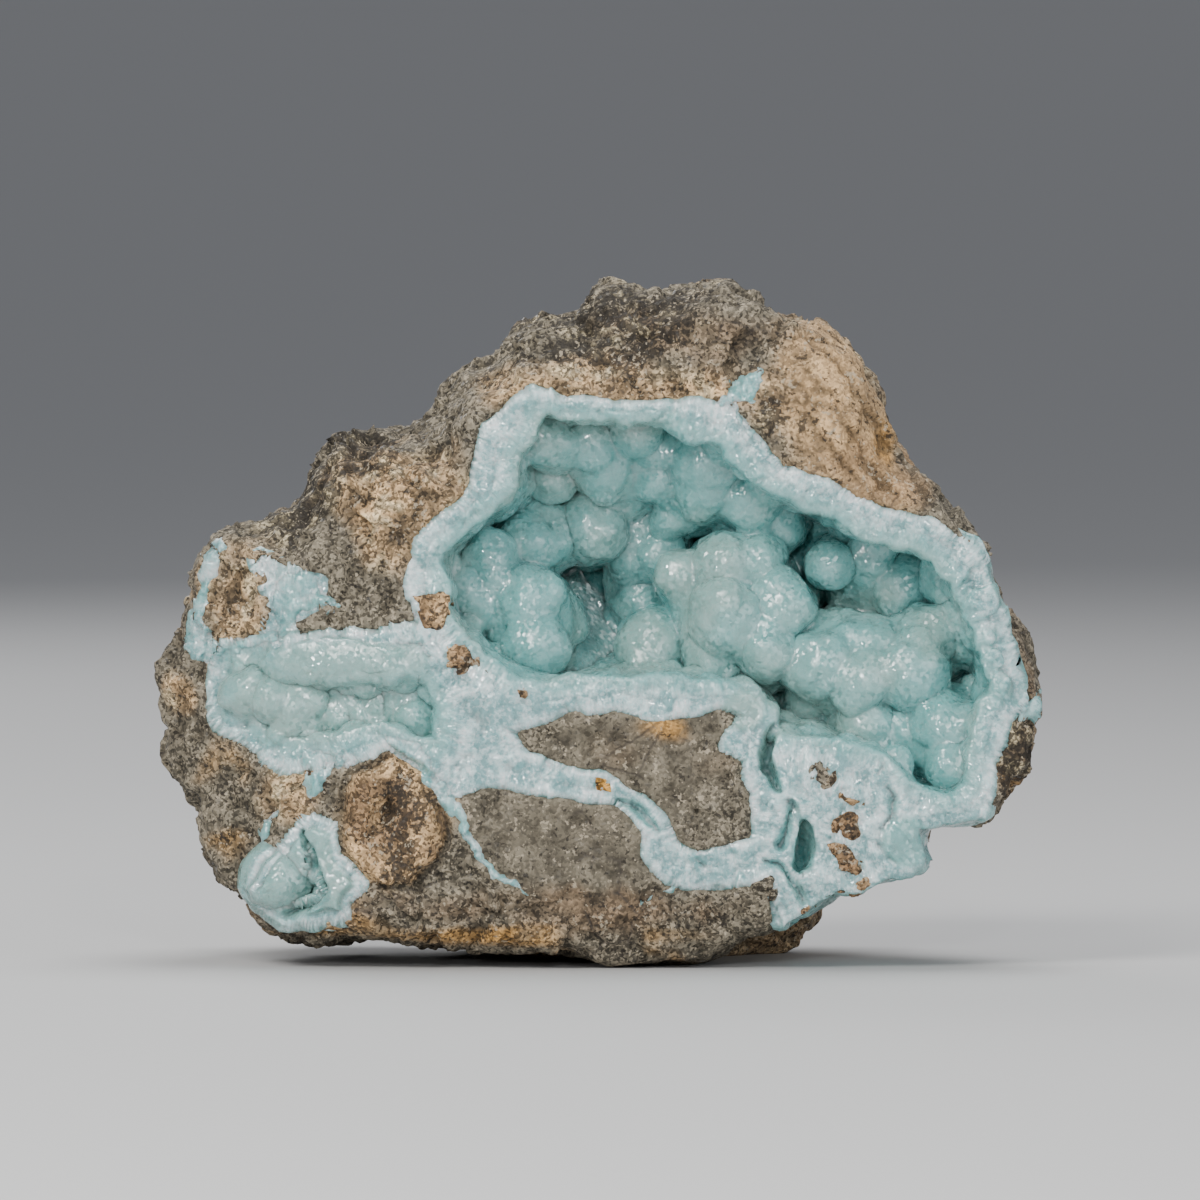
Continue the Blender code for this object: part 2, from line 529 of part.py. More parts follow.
def copy_of(obj, name, collection):
    return new_object(name, obj.data.copy(), collection)


def finish(obj, name):
    """Names a finished piece and gives it its material."""
    drop_crumbs(obj, is_largest)
    obj.name = name
    obj.data.name = name
    material = bpy.data.materials.new(name)
    material.use_nodes = True
    surface = material.node_tree.nodes["Principled BSDF"]
    surface.inputs["Base Color"].default_value = COLOURS[name]
    surface.inputs["Roughness"].default_value = ROUGHNESS[name]
    surface.inputs["Metallic"].default_value = 0.0
    material.diffuse_color = COLOURS[name]
    obj.data.materials.clear()
    obj.data.materials.append(material)


def centre_over_origin(pieces):
    """Moves the pieces together so that their box stands centred on the origin."""
    corners = [vert.co for piece in pieces for vert in piece.data.vertices]
    middle_x = (min(corner.x for corner in corners) + max(corner.x for corner in corners)) / 2
    middle_y = (min(corner.y for corner in corners) + max(corner.y for corner in corners)) / 2
    floor_z = min(corner.z for corner in corners)
    shift = Vector((-middle_x, -middle_y, -floor_z))
    for piece in pieces:
        piece.data.transform(Matrix.Translation(shift))
    print("moved by", [round(value / MM, 3) for value in shift])


def main():
    clear_scene()
    parts = new_collection("hemimorphite_specimen")
    cutters = new_collection("cutters")

    block = make_block(parts)
    hollows = make_hollows(
        cutters,
        "hollows",
        [(MAIN_ROCK, MAIN_CENTRE, MAIN_ROCK_DEPTH), (LEFT_ROCK, LEFT_CENTRE, LEFT_ROCK_DEPTH)],
        [[BAND_OUTLINE, MIDDLE_SLAB], [FROSTED_STRIP]],
        0.8,
        HOLLOW_FACES,
    )
    pocket = make_hollows(
        cutters, "pocket", [(POCKET_ROCK, POCKET_CENTRE, POCKET_ROCK_DEPTH)], [], 0.6, POCKET_FACES
    )
    void = make_void(
        cutters,
        "void",
        [(MAIN_CRUST, MAIN_CENTRE, MAIN_CRUST_DEPTH), (LEFT_CRUST, LEFT_CENTRE, LEFT_CRUST_DEPTH)],
        MAIN_LUMPS + BOSS_CORES + LEFT_LUMPS,
        SMALL_GAP,
        0.6,
        VOID_FACES,
    )
    pocket_void = make_void(
        cutters, "pocket_void", [(POCKET_CRUST, POCKET_CENTRE, POCKET_CRUST_DEPTH)], POCKET_LUMPS, None, 0.4,
        POCKET_FACES,
    )

    main_crust = copy_of(block, "main_crust_block", parts)
    combine(main_crust, "INTERSECT", hollows)
    combine(main_crust, "DIFFERENCE", void)
    pocket_crust = copy_of(block, "pocket_crust_block", parts)
    combine(pocket_crust, "INTERSECT", pocket)
    combine(pocket_crust, "DIFFERENCE", pocket_void)

    grow(hollows, GAP)
    grow(pocket, GAP)
    combine(block, "DIFFERENCE", hollows)
    combine(block, "DIFFERENCE", pocket)

    finish(block, "matrix")
    finish(main_crust, "main_crust")
    finish(pocket_crust, "pocket_crust")
    centre_over_origin([block, main_crust, pocket_crust])
    for cutter in list(cutters.objects):
        bpy.data.objects.remove(cutter)


main()
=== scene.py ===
"""The looks of a hemimorphite hand specimen: its rock, its aqua crust of rounded lumps, and a plain studio.

The rock and the crusts start from the frame's own solids, so they keep its sizes.
Their fine forms are made here.
Outlines are drawn on the open front face in millimetres, X to the right and Z up; depths run back from it.
"""

import math
from itertools import product

import bmesh
import bpy
import numpy as np
from bpy.props import FloatProperty, FloatVectorProperty, IntProperty, PointerProperty
from bpy.types import Operator, Panel, PropertyGroup
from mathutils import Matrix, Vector
from mathutils.bvhtree import BVHTree


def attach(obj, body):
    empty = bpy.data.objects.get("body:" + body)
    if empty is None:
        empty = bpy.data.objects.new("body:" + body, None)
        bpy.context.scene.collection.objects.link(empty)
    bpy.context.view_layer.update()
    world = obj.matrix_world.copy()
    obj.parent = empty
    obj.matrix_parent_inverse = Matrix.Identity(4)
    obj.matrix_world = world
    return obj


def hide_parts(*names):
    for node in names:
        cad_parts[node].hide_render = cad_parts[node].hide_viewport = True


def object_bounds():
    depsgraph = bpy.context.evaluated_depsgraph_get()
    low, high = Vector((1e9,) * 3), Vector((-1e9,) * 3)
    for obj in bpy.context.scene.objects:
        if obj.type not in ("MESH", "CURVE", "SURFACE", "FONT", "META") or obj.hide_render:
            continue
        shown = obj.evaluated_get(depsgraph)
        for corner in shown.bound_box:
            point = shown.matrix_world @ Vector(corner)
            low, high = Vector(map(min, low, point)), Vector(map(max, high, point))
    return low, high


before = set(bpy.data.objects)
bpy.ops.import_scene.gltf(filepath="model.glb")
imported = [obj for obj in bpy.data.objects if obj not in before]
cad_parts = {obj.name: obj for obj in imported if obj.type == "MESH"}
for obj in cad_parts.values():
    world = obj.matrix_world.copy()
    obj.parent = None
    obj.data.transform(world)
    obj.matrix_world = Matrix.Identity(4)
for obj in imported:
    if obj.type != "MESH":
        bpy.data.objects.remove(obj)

bl_info = {
    "name": "Hemimorphite specimen",
    "version": (1, 0, 0),
    "blender": (4, 5, 0),
    "location": "View3D > Sidebar > Specimen",
    "description": "Builds the rock, the crusts and the studio of a hemimorphite hand specimen",
    "category": "Object",
}

CAD_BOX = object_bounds()
MM = 0.001
BODY = "root"

# Farther, in millimetres, than any distance on the specimen
FAR = 1e9

# Steps to the cells round a noise's cell, and to the corners of a cell
NEIGHBOURS = list(product((-1, 0, 1), repeat=3))
CELL_CORNERS = list(product((0, 1), repeat=3))

# The frame's solids stand this far, in millimetres, from where the outlines below are drawn
FRAME_SHIFT = (0.329, -1.091, 0.0)
FRONT_Y = -30.0
# The smoothed sides are brought in to this far inside the outline, so that their bumps reach it
OUTLINE_MARGIN = 0.9

# The floor runs past all that the camera sees
FLOOR_HALF_WIDTH = 50.0
CAMERA_ELEVATION = math.radians(2.0)
CAMERA_DISTANCE = 2.5
VIEW_WIDTH = 0.159
SENSOR_WIDTH = 36.0

FLOOR_GREY = (0.55, 0.55, 0.55)
ROOM_LIGHT = (0.9, 0.93, 1.0)
ROOM_STRENGTH = 0.27

# The studio's soft lights: name, place, width, power and colour
LIGHTS = [
    ("key", (-0.45, -0.80, 0.75), 0.40, 9.5, (1.0, 0.98, 0.94)),
    ("fill", (0.75, -0.70, 0.35), 0.60, 3.0, (0.94, 0.97, 1.0)),
    ("front", (0.08, -1.10, 0.34), 0.06, 2.7, (1.0, 1.0, 1.0)),
    ("front_left", (-0.30, -1.10, 0.16), 0.06, 2.2, (1.0, 1.0, 1.0)),
    ("top", (0.10, 0.15, 0.80), 0.50, 4.5, (1.0, 1.0, 1.0)),
    ("back", (-0.50, 1.00, 0.60), 0.60, 5.0, (1.0, 1.0, 1.0)),
]

# The specimen's outline as it is seen from the front
ROCK_OUTLINE = [
    (-51.5, 57.6), (-44.9, 59.6), (-42.3, 61.1), (-39.2, 64.5), (-37.5, 68.4), (-35.5, 70.9), (-33.1, 71.6),
    (-26.0, 71.2), (-22.5, 74.3), (-20.0, 78.0), (-18.3, 79.7), (-13.9, 81.5), (-11.5, 84.3), (-7.2, 86.5),
    (-3.9, 86.8), (-1.7, 89.3), (-1.1, 90.7), (2.9, 91.5), (7.2, 90.5), (14.0, 90.5), (16.8, 91.7),
    (20.0, 89.3), (24.7, 86.8), (28.0, 86.3), (33.2, 82.9), (34.4, 81.1), (36.9, 76.1), (39.5, 69.7),
    (41.6, 66.8), (45.5, 63.3), (48.0, 59.2), (51.1, 56.0), (52.1, 52.3), (53.9, 47.6), (57.1, 45.1),
    (58.3, 39.7), (59.7, 35.3), (58.3, 31.9), (57.1, 27.6), (55.3, 24.4), (53.9, 21.6), (51.1, 20.1),
    (45.1, 19.1), (43.0, 18.4), (43.3, 15.6), (43.7, 13.2), (40.0, 12.0), (34.7, 10.9), (29.7, 9.1),
    (23.7, 5.9), (20.5, 4.3), (17.3, 2.7), (15.2, 0.8), (10.0, 0.3), (1.1, 0.0), (-2.8, 1.6), (-7.6, 3.3),
    (-12.4, 4.0), (-19.9, 3.5), (-26.1, 4.4), (-32.9, 4.5), (-37.3, 3.3), (-43.1, 4.7), (-46.4, 7.1),
    (-50.1, 11.3), (-52.8, 15.5), (-54.1, 20.8), (-55.9, 22.7), (-58.5, 27.7), (-58.3, 31.3),
    (-59.9, 34.5), (-59.3, 39.1), (-57.2, 42.8), (-54.5, 50.5), (-53.6, 53.6),
]

# Edges of the crust's face around the open hollows
MAIN_RIM = [
    (-8.7, 74.2), (-9.7, 70.5), (-11.7, 68.5), (-11.5, 64.8), (-13.2, 62.4), (-17.9, 58.7), (-20.9, 56.0),
    (-21.4, 52.5), (-20.3, 47.6), (-16.7, 42.4), (-10.7, 38.6), (-5.7, 37.9), (0.0, 38.6), (7.2, 38.8),
    (13.1, 37.9), (19.9, 37.7), (22.8, 34.1), (23.4, 31.0), (26.5, 30.8), (32.3, 29.9), (39.5, 28.0),
    (41.0, 24.5), (45.5, 22.6), (48.7, 24.0), (49.8, 29.1), (50.2, 34.0), (53.0, 37.1), (50.8, 41.3),
    (49.4, 46.5), (46.7, 52.3), (44.4, 55.2), (40.4, 56.7), (35.3, 57.6), (30.9, 60.8), (26.8, 61.7),
    (22.1, 64.0), (18.1, 67.9), (15.7, 70.3), (11.3, 71.5), (8.7, 73.3), (1.2, 72.9),
]
LEFT_RIM = [
    (-49.0, 41.8), (-46.2, 42.0), (-43.6, 40.4), (-39.0, 38.7), (-33.0, 38.2), (-27.0, 38.8), (-23.2, 39.8),
    (-21.8, 37.0), (-20.7, 34.2), (-21.5, 28.9), (-24.0, 30.6), (-28.7, 31.9), (-32.0, 31.4), (-35.5, 30.0),
    (-40.0, 29.6), (-43.6, 30.5), (-46.7, 32.5), (-49.6, 34.6), (-48.8, 38.3),
]
POCKET_RIM = [(-38.6, 16.8), (-37.2, 12.5), (-35.6, 9.4), (-38.0, 8.2), (-42.4, 7.4), (-41.6, 10.2),
              (-39.8, 12.6)]

# Edges of the crust's face against the rock
MAIN_SEAM = [
    (-9.7, 76.7), (-11.5, 75.7), (-14.8, 72.7), (-16.3, 68.3), (-17.2, 64.8), (-19.6, 61.3), (-22.3, 60.0),
    (-24.8, 57.1), (-25.3, 50.4), (-24.0, 46.1), (-28.7, 45.1), (-33.7, 44.3), (-42.0, 44.0), (-46.7, 43.6),
    (-50.4, 43.7), (-51.7, 41.7), (-52.3, 37.1), (-51.5, 32.4), (-48.7, 30.7), (-45.1, 28.1), (-41.3, 26.2),
    (-33.3, 27.0), (-28.7, 29.9), (-26.7, 29.4), (-23.3, 27.4), (-19.5, 23.0), (-13.5, 24.4), (-6.3, 23.1),
    (1.6, 22.0), (6.0, 18.5), (6.1, 14.1), (7.3, 12.5), (10.8, 10.8), (18.5, 11.5), (22.7, 10.8), (24.5, 6.0),
    (44.0, 10.0), (50.0, 18.5), (51.5, 22.5), (52.4, 29.0), (54.2, 33.5), (57.6, 36.5), (55.2, 41.3),
    (53.1, 48.5), (51.6, 53.0), (49.0, 56.5), (44.8, 59.2), (38.0, 60.9), (33.5, 62.7), (30.0, 65.2),
    (24.4, 66.3), (20.9, 70.8), (17.0, 74.5), (13.0, 75.4), (1.3, 75.4),
]
SLAB_SEAM = [
    (-12.0, 31.5), (-8.9, 32.9), (-2.8, 34.5), (2.9, 34.8), (6.0, 33.2), (12.4, 33.9), (15.2, 35.0),
    (18.9, 34.3), (16.1, 31.2), (15.2, 28.6), (19.2, 27.5), (20.4, 23.3), (20.1, 17.2), (13.1, 16.0),
    (10.0, 16.5), (9.3, 19.3), (7.3, 21.6), (2.5, 25.3), (-2.8, 26.3), (-10.4, 28.4),
]
POCKET_SEAM = [
    (-38.3, 20.3), (-34.7, 19.1), (-34.1, 14.9), (-30.8, 11.1), (-32.9, 8.9), (-32.9, 6.8), (-41.9, 5.6),
    (-46.0, 7.9), (-46.4, 10.4), (-44.8, 14.0), (-43.3, 15.2),
]

MAIN_RIMS = [MAIN_RIM, LEFT_RIM]
MAIN_SEAMS = [MAIN_SEAM, SLAB_SEAM]

# Rounded lumps of the crust: x, depth of the front, z, radius, and length front to back as a share of width
MAIN_LUMPS = [
    (-6.0, 7.0, 69.6, 3.6, 1.3), (-1.0, 9.0, 69.0, 3.0, 1.3), (4.9, 8.0, 71.2, 2.8, 1.3),
    (0.8, 11.0, 66.8, 4.4, 1.6), (7.5, 11.0, 68.3, 2.4, 1.8), (7.5, 12.0, 64.4, 2.6, 1.8),
    (14.0, 8.0, 66.8, 4.4, 1.8), (14.0, 9.5, 64.1, 4.0, 1.8), (20.1, 10.0, 62.1, 3.8, 1.8),
    (23.6, 13.0, 58.7, 3.2, 2.0), (9.6, 15.0, 59.3, 2.4, 3.0), (-0.9, 14.0, 58.0, 4.1, 3.2),
    (-9.1, 12.0, 56.3, 3.6, 2.2), (-14.5, 9.0, 54.5, 3.2, 1.7), (-9.5, 7.0, 48.5, 4.6, 2.4),
    (-8.4, 5.5, 42.9, 4.0, 2.2), (3.9, 20.0, 53.2, 2.6, 2.4), (4.9, 21.0, 48.1, 3.2, 2.2),
    (8.0, 17.0, 54.5, 2.8, 2.6), (-1.6, 30.0, 49.0, 3.2, 1.4), (-0.5, 31.0, 44.4, 3.2, 1.4),
    (7.2, 12.0, 42.4, 4.2, 2.6), (11.3, 11.0, 51.2, 3.2, 3.4), (16.8, 8.5, 53.2, 3.9, 3.4),
    (21.2, 8.5, 53.9, 3.1, 3.6), (24.9, 6.5, 47.7, 3.5, 3.6), (17.5, 5.5, 46.1, 5.2, 2.9),
    (22.5, 5.5, 41.7, 3.5, 3.4), (14.8, 8.5, 40.9, 3.1, 3.2), (30.5, 11.0, 53.2, 2.8, 3.6),
    (30.9, 19.0, 56.4, 3.8, 2.0), (35.3, 14.0, 52.7, 3.0, 3.0), (40.1, 13.0, 50.1, 3.7, 2.4),
    (29.1, 5.0, 39.7, 4.3, 3.0), (35.3, 7.0, 42.3, 3.9, 3.2), (34.7, 4.5, 38.4, 3.6, 3.2),
    (41.3, 4.5, 39.1, 4.6, 2.6), (43.5, 8.0, 43.7, 3.4, 2.6), (47.3, 13.0, 42.3, 2.9, 1.8),
    (37.2, 12.0, 56.4, 2.6, 1.8), (46.4, 9.0, 51.6, 3.0, 1.5), (48.3, 8.0, 46.7, 2.4, 1.5),
    (27.5, 13.0, 33.5, 3.6, 2.2), (35.3, 6.0, 32.0, 3.6, 2.4), (38.1, 7.0, 29.9, 3.0, 2.4),
    (41.1, 7.5, 31.3, 2.3, 2.4), (45.5, 3.5, 32.4, 3.8, 2.0), (48.0, 3.5, 32.0, 3.1, 1.8),
    (46.7, 2.5, 26.7, 3.2, 1.8),
    (-46.7, 3.5, 36.7, 2.6, 1.8), (-43.6, 2.5, 35.6, 2.4, 2.0), (-40.9, 3.0, 34.3, 3.5, 2.0),
    (-33.5, 5.0, 35.6, 3.1, 2.0), (-37.2, 5.0, 33.5, 2.8, 2.2), (-26.0, 3.0, 36.3, 3.6, 2.0),
    (-24.3, 2.5, 33.2, 2.8, 2.0), (-29.6, 4.5, 33.6, 3.0, 2.2), (-44.0, 8.0, 38.9, 2.8, 1.4),
    (-30.0, 8.0, 37.8, 2.8, 1.4), (-36.5, 9.0, 38.4, 3.0, 1.2),
]
# Lumps placed by chance: on the hollows' walls, along their rims, and small ones low in the left hollow
WALL_LUMP_COUNT = 170
WALL_LUMP_RADII = (1.6, 3.4)
RIM_LUMP_SPACING = 3.4
RIM_LUMP_RADII = (1.1, 2.1)
SMALL_LUMP_COUNT = 50
SMALL_LUMP_RADII = (0.9, 1.8)
SMALL_LUMP_DEPTHS = (3.8, 6.5)
SMALL_LUMPS_UP_TO = 38.0
# The smooth rounded lobe under the left hollow's ceiling: from x, to x, height, radius, spacing of its balls
CEILING_LOBE = (-41.5, -25.0, 41.3, 2.9, 0.9)
# Smooth grown faces that reach the front: x, z, half width, half height
GROWN_FACES = [(-33.2, 41.0, 11.0, 2.9), (40.7, 16.9, 3.6, 3.6), (-11.0, 46.5, 6.0, 5.0),
               (19.0, 34.5, 3.0, 3.0)]
# Large lumps that stand behind those above and join them
BOSS_CORES = [
    (18.0, 8.5, 47.0, 8.6, 2.0), (22.0, 9.5, 43.0, 6.5, 2.4), (31.5, 7.5, 40.4, 6.2, 2.6),
    (40.0, 7.0, 39.8, 6.2, 2.6), (36.5, 15.5, 52.0, 6.4, 1.8), (28.0, 22.0, 53.0, 6.5, 1.4),
    (3.0, 14.0, 66.0, 6.2, 1.8), (13.0, 12.0, 65.0, 7.2, 1.8), (21.5, 14.0, 60.5, 6.0, 1.8),
    (-1.5, 17.0, 58.5, 5.4, 2.0), (-8.5, 15.0, 57.0, 5.4, 1.8), (6.5, 18.5, 57.0, 5.4, 1.9),
    (6.5, 22.0, 49.0, 5.4, 1.4), (-9.3, 8.5, 46.0, 6.2, 2.0), (-15.0, 9.5, 49.0, 6.0, 1.6),
    (8.5, 14.0, 41.0, 5.0, 2.0), (28.0, 15.0, 33.5, 5.6, 1.6), (36.0, 9.0, 31.0, 6.4, 1.8),
    (45.5, 6.0, 30.0, 5.8, 1.8), (46.0, 14.0, 44.0, 5.5, 1.5),
    (-6.4, 13.8, 65.0, 3.0, 1.6), (2.2, 25.5, 44.6, 2.6, 1.4),
]
POCKET_LUMPS = [
    (-42.9, 1.5, 11.6, 3.6, 1.2), (-36.6, 1.5, 13.8, 2.4, 1.4), (-35.6, 2.5, 8.6, 2.4, 1.4),
    (-40.0, 6.0, 15.6, 1.8, 1.2),
]

# Zones of the rock's tone: x, z, half width, half height
TAN_ZONES = [(2.0, 77.0, 15.0, 3.6), (31.0, 73.0, 13.0, 12.0), (-27.0, 62.0, 8.0, 7.0),
             (-40.0, 24.0, 4.0, 5.0), (-48.0, 49.0, 5.5, 6.5), (-29.0, 20.0, 7.0, 8.0),
             (-36.0, 11.0, 5.0, 5.0), (-56.5, 36.0, 2.0, 2.5)]
BROWN_ZONES = [(10.0, 84.0, 14.0, 4.0), (-29.0, 20.0, 4.0, 5.0), (12.0, 30.0, 9.0, 4.0),
               (36.0, 66.0, 10.0, 4.0), (54.0, 40.0, 4.0, 10.0), (55.0, 27.0, 4.0, 6.0),
               (-16.0, 8.0, 30.0, 3.0)]
OCHRE_ZONES = [(-40.0, 6.0, 12.0, 2.0), (-10.0, 4.5, 22.0, 1.6), (9.0, 32.3, 4.0, 2.2),
               (38.0, 70.0, 2.0, 4.0), (-50.0, 22.0, 4.0, 8.0), (56.0, 26.0, 3.0, 3.0),
               (2.0, 1.0, 10.0, 2.0)]
# Dark zones: the first two lie over the pits on the upper left and paint shade in them; the others are darker
# rock
DARK_AND_SHADE_ZONES = [(-40.0, 62.0, 5.0, 5.0), (-31.5, 69.0, 5.0, 4.0), (3.0, 85.0, 15.0, 5.5),
              (22.5, 73.0, 2.0, 4.0), (-26.0, 18.0, 3.0, 8.0), (54.5, 29.0, 2.5, 5.0)]
SMOOTH_ZONES = [(33.0, 72.0, 12.0, 14.0), (-2.0, 17.0, 16.0, 8.0), (4.0, 28.0, 15.0, 8.0)]

# The same for the small pieces of rock held in the crust
GREY_FLECKS = [(21.5, 10.7, 3.0, 2.5), (28.0, 26.0, 3.0, 3.0)]
DARK_FLECKS = [(33.0, 19.2, 3.5, 2.5), (31.0, 14.5, 4.0, 3.0), (30.0, 9.5, 6.0, 2.0)]
OCHRE_FLECKS = [(0.0, 24.3, 3.5, 2.0), (-4.9, 24.3, 2.0, 2.0)]

# Hollows in the rock: x, z, radius, depth
ROCK_PITS = [(-40.0, 61.7, 4.0, 1.6), (-31.3, 69.1, 3.6, 1.6), (-29.3, 20.9, 3.0, 2.4),
             (-53.5, 31.0, 1.2, 0.8), (13.3, 29.5, 1.6, 0.8), (-46.5, 25.5, 1.4, 1.0)]

# The places below are drawn in pixels of the square photograph: this many to a millimetre, from its middle
# across and from the underside up
PIXELS = 7.5
MIDDLE_PIXEL = 600
UNDERSIDE_PIXEL = 968

# The rock's round knob
KNOB = [(353, 770), (371, 762), (395, 745), (409, 758), (422, 765), (430, 785), (445, 812), (445, 834),
        (436, 856), (416, 879), (393, 885), (367, 879), (344, 861), (340, 834), (342, 807)]

# Small pieces of rock held in the crust's face
ROCK_FLECKS = [
    [(414, 594), (431, 586), (449, 590), (459, 604), (449, 622), (436, 631), (426, 624), (414, 604)],
    [(449, 645), (459, 643), (474, 658), (464, 678), (451, 672), (448, 655)],
    [(476, 658), (490, 662), (499, 670), (494, 677), (478, 668)],
    [(508, 680), (526, 686), (533, 695), (528, 701), (513, 692)],
    [(797, 778), (810, 758), (830, 757), (834, 775), (829, 787), (812, 790)],
    [(832, 790), (850, 789), (866, 797), (870, 805), (850, 804), (836, 799)],
    [(828, 816), (842, 809), (857, 812), (861, 827), (853, 838), (840, 834), (829, 826)],
    [(817, 840), (832, 839), (852, 848), (864, 859), (861, 870), (845, 869), (832, 858)],
    [(842, 875), (855, 879), (872, 874), (875, 884), (858, 889), (845, 887)],
    [(750, 880), (760, 876), (772, 880), (774, 892), (766, 900), (752, 896)],
    [(557, 780), (564, 777), (573, 792), (567, 796)],
    [(583, 778), (603, 774), (615, 785), (612, 796), (600, 792), (586, 786)],
    [(941, 812), (949, 813), (948, 821), (942, 820)],
    [(311, 770), (318, 769), (318, 775), (312, 775)],
    [(796, 912), (806, 900), (830, 892), (852, 881), (874, 877), (880, 884), (854, 893), (828, 903),
     (806, 917)],
]

# Crust that lies on the rock: areas, and lines with their half widths
CRUST_AREAS = [
    [(213, 544), (205, 562), (196, 593), (188, 615), (186, 640), (190, 662), (206, 672), (224, 660),
     (240, 654), (262, 650), (280, 644), (283, 632), (272, 629), (262, 640), (240, 643), (225, 642),
     (214, 636), (205, 620), (208, 603), (213, 590), (219, 570), (226, 556), (234, 549), (222, 541)],
    [(272, 578), (285, 576), (305, 571), (318, 576), (325, 590), (337, 600), (345, 607), (330, 612),
     (315, 616), (302, 613), (297, 622), (293, 632), (287, 646), (276, 646), (274, 620), (276, 600)],
    [(303, 750), (330, 748), (354, 758), (346, 768), (335, 770), (325, 790), (312, 802), (306, 790),
     (303, 765)],
    [(1012, 722), (1022, 700), (1040, 690), (1050, 695), (1048, 715), (1041, 733), (1032, 738), (1027, 722)],
    [(728, 384), (738, 368), (756, 364), (768, 371), (762, 384), (752, 392), (756, 408), (742, 404),
     (730, 412), (716, 408), (722, 396)],
]
CRUST_LINES = [
    [(392, 742, 8), (415, 752, 10), (436, 783, 10), (452, 806, 9), (470, 831, 7), (484, 857, 6),
     (498, 873, 6), (514, 884, 4), (533, 898, 1)],
    [(286, 800, 1), (279, 813, 4), (269, 826, 5), (263, 843, 3)],
    [(756, 372, 4), (775, 366, 2), (790, 380, 1)],
    [(735, 402, 4), (742, 425, 3), (760, 447, 2), (790, 470, 2)],
    [(640, 905, 1), (652, 893, 3), (668, 889, 4)],
    [(262, 560, 2), (274, 575, 3)],
]

# Open slits in the crust's face, each with its depth in millimetres
CRUST_SLITS = [
    (1.4, [(614, 803, 2), (630, 806, 5), (648, 820, 6), (660, 832, 2)]),
    (1.0, [(204, 643, 1), (212, 648, 3), (222, 652, 1)]),
    (0.8, [(696, 855, 2), (702, 862, 3)]),
    (4.5, [(778, 720, 2), (766, 736, 6), (764, 752, 7), (771, 770, 5), (778, 788, 3)]),
    (1.6, [(786, 800, 3), (791, 815, 5), (783, 830, 6), (776, 842, 5)]),
    (1.5, [(762, 858, 1), (774, 862, 3), (788, 874, 4), (796, 890, 4), (801, 904, 2)]),
    (1.0, [(884, 788, 2), (893, 798, 3), (893, 812, 3), (884, 824, 2)]),
    (0.8, [(896, 740, 1), (882, 760, 3), (878, 775, 2)]),
    (0.8, [(400, 640, 1), (425, 642, 3), (434, 655, 2)]),
    (3.0, [(304, 834, 2), (313, 850, 5), (318, 872, 6), (325, 892, 8)]),
    (2.6, [(325, 894, 8), (311, 906, 6), (290, 916, 3)]),
]

# A patch on the rock ends where the ground under it falls away more steeply than this
STEEPEST = 4.0

# Colours of the finest marks
BLACK_SPECK = (0.022, 0.018, 0.014)
PALE_SPECK = (0.52, 0.44, 0.32)
CRACK_BROWN = (0.05, 0.042, 0.036)
# Painted shade laid in the crust's slits and creases on its broken edge
SLIT_SHADE = (0.015, 0.035, 0.035)


def hashed(cell_x, cell_y, cell_z, seed):
    """An even random number from 0 to 1 for each whole-numbered cell."""
    with np.errstate(over="ignore"):
        value = cell_x.astype(np.uint32) * np.uint32(374761393)
        value = value + cell_y.astype(np.uint32) * np.uint32(668265263)
        value = value + cell_z.astype(np.uint32) * np.uint32(2147483647)
        value = value + np.uint32(seed * 974711 % 4294967295)
        value = (value ^ (value >> np.uint32(13))) * np.uint32(1274126177)
        value = (value ^ (value >> np.uint32(16))) * np.uint32(2246822519)
        value = value ^ (value >> np.uint32(15))
    return value.astype(np.float64) / 4294967295.0


def soft_noise(points, size, seed):
    """Smooth noise from -1 to 1 whose forms are about the size across."""
    place = points / size + 1000.0
    whole = np.floor(place)
    part = place - whole
    part = part * part * (3 - 2 * part)
    base = whole.astype(np.int64)
    total = np.zeros(len(points))
    for dx, dy, dz in CELL_CORNERS:
        weight = np.abs(1 - dx - part[:, 0]) * np.abs(1 - dy - part[:, 1]) * np.abs(1 - dz - part[:, 2])
        total += weight * hashed(base[:, 0] + dx, base[:, 1] + dy, base[:, 2] + dz, seed)
    return total * 2 - 1


def rough_noise(points, size, seed, octaves=3):
    """Layers of soft noise, each half as large and half as strong as the last."""
    total = np.zeros(len(points))
    for octave in range(octaves):
        total += soft_noise(points, size / 2 ** octave, seed + octave) / 2 ** octave
    return total


def chip_noise(points, size, seed):
    """Flat chipped faces of about the size, each tilted its own way, from about -1 to 1."""
    place = points / size + 1000.0
    base = np.floor(place).astype(np.int64)
    near = np.full(len(points), FAR)
    value = np.zeros(len(points))
    for step in NEIGHBOURS:
        cell = base + step
        names = [hashed(cell[:, 0], cell[:, 1], cell[:, 2], seed + number) for number in range(7)]
        offset = place - cell - np.stack(names[:3], axis=1)
        tilt = np.stack(names[3:6], axis=1) - 0.5
        away = (offset ** 2).sum(axis=1)
        closer = away < near
        value = np.where(closer, (names[6] - 0.5) + 2.2 * (offset * tilt).sum(axis=1), value)
        near = np.where(closer, away, near)
    return value


def lump_noise(points, size, seed):
    """Rounded domes from 0 to about 1 that meet in soft valleys."""
    place = points / size + 1000.0
    base = np.floor(place).astype(np.int64)
    total = np.zeros(len(points))
    sharpness = 7.0
    for dx, dy, dz in NEIGHBOURS:
        cx, cy, cz = base[:, 0] + dx, base[:, 1] + dy, base[:, 2] + dz
        away = (cx + hashed(cx, cy, cz, seed) - place[:, 0]) ** 2
        away += (cy + hashed(cx, cy, cz, seed + 1) - place[:, 1]) ** 2
        away += (cz + hashed(cx, cy, cz, seed + 2) - place[:, 2]) ** 2
        total += np.exp(-sharpness * away)
    return np.clip(1.0 + np.log(np.maximum(total, 1e-9)) / sharpness, 0.0, 1.2)


